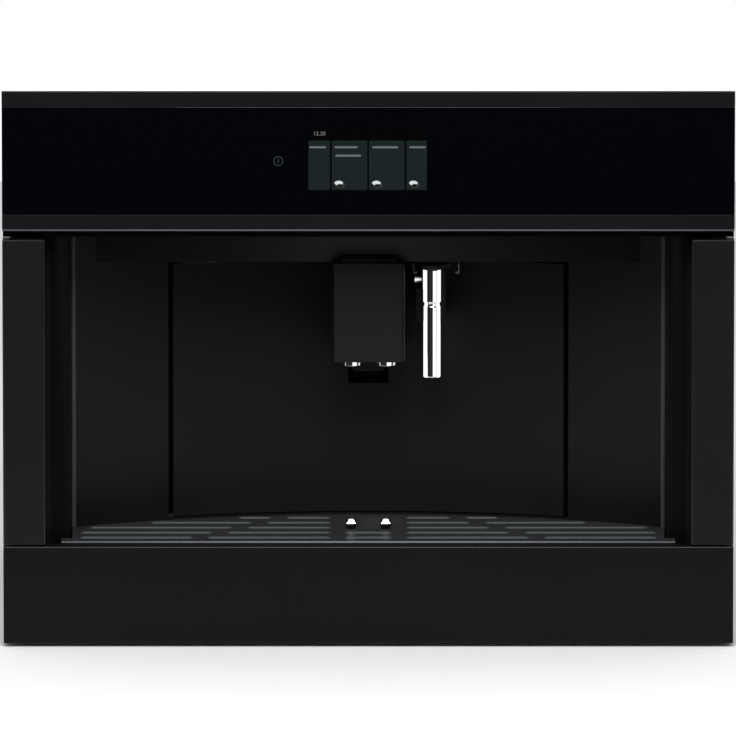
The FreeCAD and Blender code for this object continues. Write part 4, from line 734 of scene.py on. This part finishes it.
def liner(depth, a, b, steps, count=40):
    """Rows round one slot, from steps of (radius, drop); radius None is the square slot's edge.

    A circle blown up and cut off at its old width makes the square."""
    turn = (np.arange(count) + 0.5) * 2 * math.pi / count
    across, rise = np.cos(turn), np.sin(turn)
    rows = []
    for radius, drop in steps:
        reach = radius or SLOT_SIZE / 2 + RIM_OVERLAP
        round_part = np.stack([reach * across, reach * rise], axis=-1)
        if radius is None:
            round_part = np.clip(round_part * TO_SQUARE, -reach, reach)
        x = (a + b) / 2 + np.sign(across) * ((b - a) / 2 - SLOT_SIZE / 2) + round_part[:, 0]
        height = np.full(count, GRILLE_TOP - drop)
        rows.append(np.stack([x, depth - round_part[:, 1], height], axis=-1))
    return placed(np.array(rows))


LINERS = [("grille_rims", "grille plastic",
           ((None, -0.02), (4.5, -0.02), (4.1, -0.02), (4.0, 0.25))),
          ("grille_slot_painted_light", "slot wall painted light", ((4.0, 0.25), (3.95, 1.55))),
          ("grille_slot_painted_shade", "slot shade", ((3.95, 1.55), (3.9, 2.7)))]
cells = list(slot_cells())
for name, finish, steps in LINERS:
    skin(name, [liner(*cell, steps) for cell in cells], "cup_grille", finish)
print(len(cells), "slots")

# %% [markdown]
# ## Drain inlets
#
# Under each coffee nozzle a small polished hood stands on the grille. It is an arch with a closed,
# rounded back and a square mouth towards the front.

# %% Inlet hoods
NOZZLE_PITCH, HOOD_FRONT, HOOD_LONG, HOOD_HALF, HOOD_HIGH = 28.3, 78.5, 13.0, 5.0, 7.0
MOUTH_HALF, MOUTH_HIGH, MOUTH_DEEP, MOUTH_CORNER = 3.8, 3.5, 5.0, 0.3
MOUTH_RIM, RIM_DEEP, SHADE_WALL_DEEP = 1.05, 0.1, 1.2
ARCH_SIDE, ARCH_TOP, MOUTH_SQUARE = 0.6, 0.7, 1.6
# The hood's rows as (share of the full arch, share of the length from the front).
HOOD_ROWS = ((0.0, 1.0), (0.45, 0.98), (0.75, 0.9), (0.93, 0.75), (1.0, 0.5), (1.0, 0.19),
             (0.97, 0.14))


def arch(half, high, count=33):
    """Outline of an arch from one foot over the top to the other: straight sides, round head."""
    side = np.linspace(0, 1, count)
    turn = math.pi * (1 - side)
    reach = np.sign(np.cos(turn)) * np.abs(np.cos(turn)) ** ARCH_SIDE
    return np.stack([half * reach, high * np.sin(turn) ** ARCH_TOP], axis=-1)


def hood(middle):
    """Rows of a hood from its back pole forwards, over the front rim and into the mouth."""
    rows = [(arch(HOOD_HALF * share, HOOD_HIGH * share), HOOD_FRONT + HOOD_LONG * depth)
            for share, depth in HOOD_ROWS]
    square = np.clip(arch(1, 1) * MOUTH_SQUARE, [-1, 0], [1, 1]) * [MOUTH_HALF, MOUTH_HIGH]
    rows += [(square * MOUTH_RIM, HOOD_FRONT + RIM_DEEP), (square, HOOD_FRONT),
             (square, HOOD_FRONT + MOUTH_DEEP)]
    grid = [np.stack([middle + outline[:, 0], np.full(len(outline), depth),
                      GRILLE_TOP + outline[:, 1]], axis=-1) for outline, depth in rows]
    return placed(np.array(grid))


def hood_painted_shade(middle):
    """A near-black wall behind a hood's mouth, painted shade: its outline, and the point that
    closes it.
    """
    rows = []
    for share in (1.0, 0.0):
        outline = oblong(2 * MOUTH_HALF, 2 * MOUTH_HIGH, MOUTH_CORNER) * share
        depth = np.full(len(outline), HOOD_FRONT + SHADE_WALL_DEEP)
        rows.append(np.stack([middle + outline[:, 0], depth,
                              GRILLE_TOP + np.maximum(outline[:, 1], 0)], axis=-1))
    return placed(np.array(rows))


middles = [side * NOZZLE_PITCH / 2 for side in (-1, 1)]
hoods = skin("inlet_hoods", [hood(m) for m in middles], "cup_grille", "inlet steel",
             around=False)
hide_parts("drain_inlets")
# A near-black wall just inside each mouth is painted shade for the hole behind it.
skin("inlet_painted_shades", [hood_painted_shade(m) for m in middles], "cup_grille", "socket plastic")

# %% [markdown]
# ## Polished lips
#
# Two thin strips of polished steel cross the front: one under the control panel, one on the drip
# tray's edge. The face of each leans back by 27 degrees, which is half way between the eye and the
# lamp, so it mirrors the lamp in one clear line.

# %% Strips with a leaning face
LEAN = math.tan(math.radians(27))
# The strip's section as shares of its height: how far back, and how far up.
SECTION = np.array([(1.0, 0.0), (0.25, 0.02), (0.0, 0.10), (0.10, 0.24), (0.76, 0.84),
                    (0.9, 0.96), (1.3, 1.0)])


def leaning_strip(half, front, low, high, count=61):
    """Rows along a strip whose face leans back as it rises, between two small curves."""
    tall = high - low
    across = np.linspace(-half, half, count)[:, None]
    depth = np.broadcast_to(front + SECTION[:, 0] * tall * LEAN, (count, len(SECTION)))
    height = np.broadcast_to(low + tall * SECTION[:, 1], depth.shape)
    rows = np.stack([np.broadcast_to(across, depth.shape), depth, height], axis=-1)
    ends = [np.repeat(rows[i].mean(0)[None, None], len(SECTION), axis=1) for i in (0, -1)]
    return placed(np.concatenate([ends[0], rows, ends[1]]))


panel_lip = skin("panel_lip", [leaning_strip(297.4, 0.1, 340.1, 342.1)], "machine", "polished lip")
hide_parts("polished_lip")
skin("tray_lip_strip", [leaning_strip(250.2, 14.3, 80.4, 82.1)], "drip_tray", "tray lip steel")

# %% [markdown]
# ## Shade strip
#
# A thin near-black strip fills the gap between the control panel and the handles under it:
# painted shade where the gap is dark. It stands back in the shade, so a thin plate is enough.

# %% Painted shade strip under the panel
SHADE_STRIP_MIDDLE, SHADE_STRIP_SIZE, SHADE_STRIP_CORNER = (0, 336.7), (594.4, 6.6), 0.3
SHADE_STRIP_DEPTH, SHADE_STRIP_THICK = 17, 2
skin("panel_painted_shade", [tile(SHADE_STRIP_MIDDLE, *SHADE_STRIP_SIZE, SHADE_STRIP_CORNER, SHADE_STRIP_DEPTH, SHADE_STRIP_THICK)],
     "machine", "painted shade black")

# %% [markdown]
# ## Hot water tube
#
# The tube is a turned and chromed piece with a sleeve at its upper end. Chrome shows every
# unevenness of a surface, so it isn't a copy of the solid's triangles but a clean turned profile:
# sleeve, groove, tube, and a rolled end with its bore.

# %% Tube
TUBE_FOOT = (52.1, 97.0, 0.0)
TUBE_PROFILE = [(5.0, 292.0), (7.1, 293.6), (7.3, 293.0), (7.3, 292.4), (7.3, 268.0),
                (7.3, 267.4), (7.1, 266.8), (6.5, 266.5), (6.4, 266.2), (6.4, 264.3),
                (6.4, 264.0), (6.8, 263.4), (7.0, 262.9), (7.0, 262.3), (7.0, 205.8),
                (7.0, 205.2), (6.8, 204.6), (6.4, 204.3), (5.9, 204.6), (5.7, 205.4),
                (5.7, 206.0), (5.7, 230.0), (0.0, 230.0)]
water_tube = skin("hot_water_tube", [turned(TUBE_PROFILE, TUBE_FOOT, 64)], "water_spout", "chrome",
                  angle=35)
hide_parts("water_tube")

# %% [markdown]
# ## Clips of the water connector
#
# The plate behind the hot water spout ends in two small bright clips shaped like square brackets.

# %% Connector clips
CLIPS = [(37.2, 1), (74.2, -1)]
CLIP_FRONT = 119.2
clips = []
for x, way in CLIPS:
    clips.append(tile((x, 291.4), 1.1, 7.4, 0.4, CLIP_FRONT, 1.2))
    clips.append(tile((x + way * 1.2, 287.6), 3.4, 1.7, 0.5, CLIP_FRONT, 1.4))
skin("connector_clips", clips, "service_door", "clip steel")

# %% [markdown]
# ## Screws of the sheets
#
# The sheets are held by pan-head screws with a cross recess. One profile is turned round for the
# head, and its recess is a shallow four-lobed dent: the radius of one inner row swings four times
# round.

# %% Screws
HEAD_RADIUS, HEAD_RISE, LOBE_SWING = 3.4, 1.9, 0.45
# The head's rows as (share of the radius, share of the rise, whether the row is lobed).
HEAD_ROWS = ((1.0, 0.0, 0), (1.0, 0.45, 0), (0.9, 0.75, 0), (0.68, 0.95, 0), (0.40, 1.0, 1),
             (0.30, 0.45, 1), (0.0, 0.4, 0))


def screw(place, way, sign=1, count=24):
    """Rows of a screw head from its rim to the bottom of its cross recess."""
    turn = np.arange(count) * 2 * math.pi / count
    lobes = 1 + LOBE_SWING * np.cos(4 * turn)
    rows = []
    for share, height, crossed in HEAD_ROWS:
        reach = HEAD_RADIUS * share * (lobes if crossed else 1.0)
        rise_here = np.full(count, sign * HEAD_RISE * height)
        flat = reach * np.cos(turn), reach * np.sin(turn)
        parts = {"y": (flat[0], rise_here, flat[1]), "x": (rise_here, flat[0], flat[1]),
                 "z": (flat[0], flat[1], rise_here)}
        rows.append(np.stack(parts[way], axis=-1))
    return placed(np.array(rows) + np.array(place, float))


def sheet_box(node):
    """A node's lowest and highest corners as (across, depth, height) in millimetres."""
    low, high = (np.array(corner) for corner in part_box(node))
    shift = np.array([0, FRONT_Y, FOOT_Z])
    return (low - shift) / MM, (high - shift) / MM


EDGE, SIDE_EDGE, REAR_INSET, SIDE_LOW = 9.0, 12, 90, 72
low, high = sheet_box("rear_panel")
rear_sides = (low[0] + EDGE, high[0] - EDGE)
rear_screws = [screw((x, high[1], z), "y") for x in np.linspace(*rear_sides, 5)
               for z in (low[2] + EDGE, high[2] - EDGE)]
rear_screws += [screw((x, high[1], z), "y") for x in rear_sides
                for z in np.linspace(low[2] + REAR_INSET, high[2] - REAR_INSET, 2)]
low, high = sheet_box("top_cover")
top_screws = [screw((x, y, high[2]), "z") for x in np.linspace(low[0] + EDGE, high[0] - EDGE, 4)
              for y in (low[1] + EDGE, high[1] - EDGE)]
side_screws = []
for node, sign in (("side_panel_left", -1), ("side_panel_right", 1)):
    low, high = sheet_box(node)
    x = low[0] if sign < 0 else high[0]
    side_screws += [screw((x, y, z), "x", sign)
                    for y in np.linspace(low[1] + SIDE_EDGE, high[1] - SIDE_EDGE, 4)
                    for z in (low[2] + SIDE_LOW, high[2] - EDGE)]
skin("rear_screws", rear_screws, "machine", "bright screw")
skin("top_screws", top_screws, "machine", "bright screw")
skin("side_screws", side_screws, "machine", "bright screw")
print(len(rear_screws) + len(top_screws) + len(side_screws), "screws")

# %% [markdown]
# ## Studio
#
# The camera sees a white room. In reflections the room is white beside and behind the machine, and
# dark on the camera's side, over 72 degrees to the left and to the right. The glass and the flat
# fronts mirror that dark side and stay black. A plain pale table keeps the shadow, and passes on
# less light than it shows, so that it doesn't brighten the machine from below.

# %% Table
TABLE_HALF, TABLE_NEAR, TABLE_FAR = 1.6, -0.75, 2.3
TABLE_SEEN, TABLE_PASSED_ON = linear("f7f7f7"), linear("6a6a6a")
table_mesh = bpy.data.meshes.new("table")
table_mesh.from_pydata([(-TABLE_HALF, TABLE_NEAR, 0), (TABLE_HALF, TABLE_NEAR, 0),
                        (TABLE_HALF, TABLE_FAR, 0), (-TABLE_HALF, TABLE_FAR, 0)],
                       [], [(0, 1, 2, 3)])
table = bpy.data.objects.new("table", table_mesh)
bpy.context.scene.collection.objects.link(table)
tree, shader, place = start("table", Base_Color=TABLE_SEEN, Roughness=0.9, Specular_IOR_Level=0.1)
path = add(tree, "LightPath")
bounce = add(tree, "MixRGB", {"Fac": path.outputs["Is Diffuse Ray"], "Color1": TABLE_SEEN,
                              "Color2": TABLE_PASSED_ON})
tree.links.new(bounce.outputs["Color"], shader.inputs["Base Color"])
table_mesh.materials.append(FINISHES["table"])
table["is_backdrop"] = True

# %% World
DARK_FROM, DARK_TO, SOFT_EDGE = -72, 72, 8
DARK_LEFT_OVER, ROOM_LIGHT = 0.03, 0.62


def white_room(world):
    """White for the camera. Reflections are dark over a range of degrees from the camera's side."""
    tree = world.node_tree
    tree.nodes.clear()
    path = add(tree, "LightPath")
    glossy = path.outputs["Is Glossy Ray"]
    ray = add(tree, "SeparateXYZ", {"Vector": add(tree, "TexCoord").outputs["Generated"]})
    behind = add(tree, "Math", {0: ray.outputs["Y"], 1: -1.0}, operation="MULTIPLY")
    turn = add(tree, "Math", {0: ray.outputs["X"], 1: behind.outputs[0]}, operation="ARCTAN2")
    rise = add(tree, "MapRange", {"Value": turn.outputs[0],
                                  "From Min": math.radians(DARK_FROM - SOFT_EDGE),
                                  "From Max": math.radians(DARK_FROM)})
    fall = add(tree, "MapRange", {"Value": turn.outputs[0],
                                  "From Min": math.radians(DARK_TO + SOFT_EDGE),
                                  "From Max": math.radians(DARK_TO)})
    dark = add(tree, "Math", {0: rise.outputs[0], 1: fall.outputs[0]}, operation="MULTIPLY")
    mirrored = add(tree, "MapRange", {"Value": dark.outputs[0], "To Min": 1.0,
                                      "To Max": DARK_LEFT_OVER})
    spread = add(tree, "Math", {0: glossy, 1: mirrored.outputs[0]}, operation="MULTIPLY")
    rest = add(tree, "MapRange", {"Value": glossy, "To Min": ROOM_LIGHT, "To Max": 0.0})
    lit = add(tree, "Math", {0: spread.outputs[0], 1: rest.outputs[0]}, operation="ADD")
    seen = add(tree, "Math", {0: path.outputs["Is Camera Ray"],
                              1: path.outputs["Is Transmission Ray"]}, operation="MAXIMUM")
    strength = add(tree, "Math", {0: lit.outputs[0], 1: seen.outputs[0]}, operation="MAXIMUM")
    room = add(tree, "Background", {"Color": linear("ffffff"), "Strength": strength.outputs[0]})
    add(tree, "OutputWorld", {"Surface": room.outputs[0]})


world = bpy.data.worlds.new("studio")
world.use_nodes = True
white_room(world)
bpy.context.scene.world = world

# %% [markdown]
# ## Lamps
#
# Two soft lamps hang in front of and above the machine. The wide one makes the upper edges brighter
# than the lower ones, and the narrow one lifts the middle a little.

# %% Lamps
AIM = (0, 0, 0.25)


def soft_lamp(name, place, toward, size, power):
    """A rectangular lamp that faces a point."""
    light = bpy.data.lights.new(name, "AREA")
    light.shape = "RECTANGLE"
    light.size, light.size_y = size
    light.energy = power
    lamp = bpy.data.objects.new(name, light)
    lamp.location = place
    way = Vector(toward) - Vector(place)
    lamp.rotation_euler = way.to_track_quat("-Z", "Y").to_euler()
    bpy.context.scene.collection.objects.link(lamp)
    return lamp


soft_lamp("front lamp", (0.0, -1.9, 1.9), AIM, (2.4, 1.2), 30)
soft_lamp("centre lamp", (0.0, -1.4, 1.5), AIM, (0.35, 0.7), 10)

# %% [markdown]
# ## White cards
#
# A chrome tube only shows what stands round it. A photographer stands white cards close beside it
# and leaves a narrow dark gap towards the camera. The cards here are small lamps that the camera
# doesn't see. Light linking lets each one light only its own pieces, so the black alcove round them
# isn't washed out. Three are for the tube and the nozzles, and the button, the drain inlets and the
# header have one each.

# %% Cards
def card(name, place, toward, size, glow, pieces):
    """A white card as a lamp of the radiance glow, which lights only the pieces named."""
    lamp = soft_lamp(name, place, toward, size, glow * math.pi * size[0] * size[1])
    group = bpy.data.collections.new(name + " pieces")
    for piece in pieces:
        group.objects.link(bpy.data.objects[piece])
    lamp.light_linking.receiver_collection = group


TUBE = ["hot_water_tube", "spout_nozzles_rounded"]
BUTTON, INLETS, HEADER = ["release_button_rounded"], ["inlet_hoods"], ["header_fascia_rounded"]
TUBE_MIDDLE, SIDE_CARD = at(52, 111, 250), (0.052, 0.13)
card("left card", at(34, 111, 250), TUBE_MIDDLE, SIDE_CARD, 1.6, TUBE)
card("right card", at(72, 111, 250), TUBE_MIDDLE, SIDE_CARD, 1.6, TUBE)
card("front card", at(1140, -903, 150), at(1140, 97, 150), (1.76, 1.0), 1.5, TUBE)
card("button card", at(42, 57, 275), at(42, 120, 281), (0.06, 0.12), 3.0, BUTTON)
card("inlet card", at(0, -660, 900), at(0, 85, 82), (1.6, 1.0), 1.3, INLETS)
card("header card", at(0, -100, 280), at(0, 95, 315), (0.1, 0.1), 3.6, HEADER)

# %% View and measures
bpy.context.scene.view_settings.view_transform = "Standard"
low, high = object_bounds()
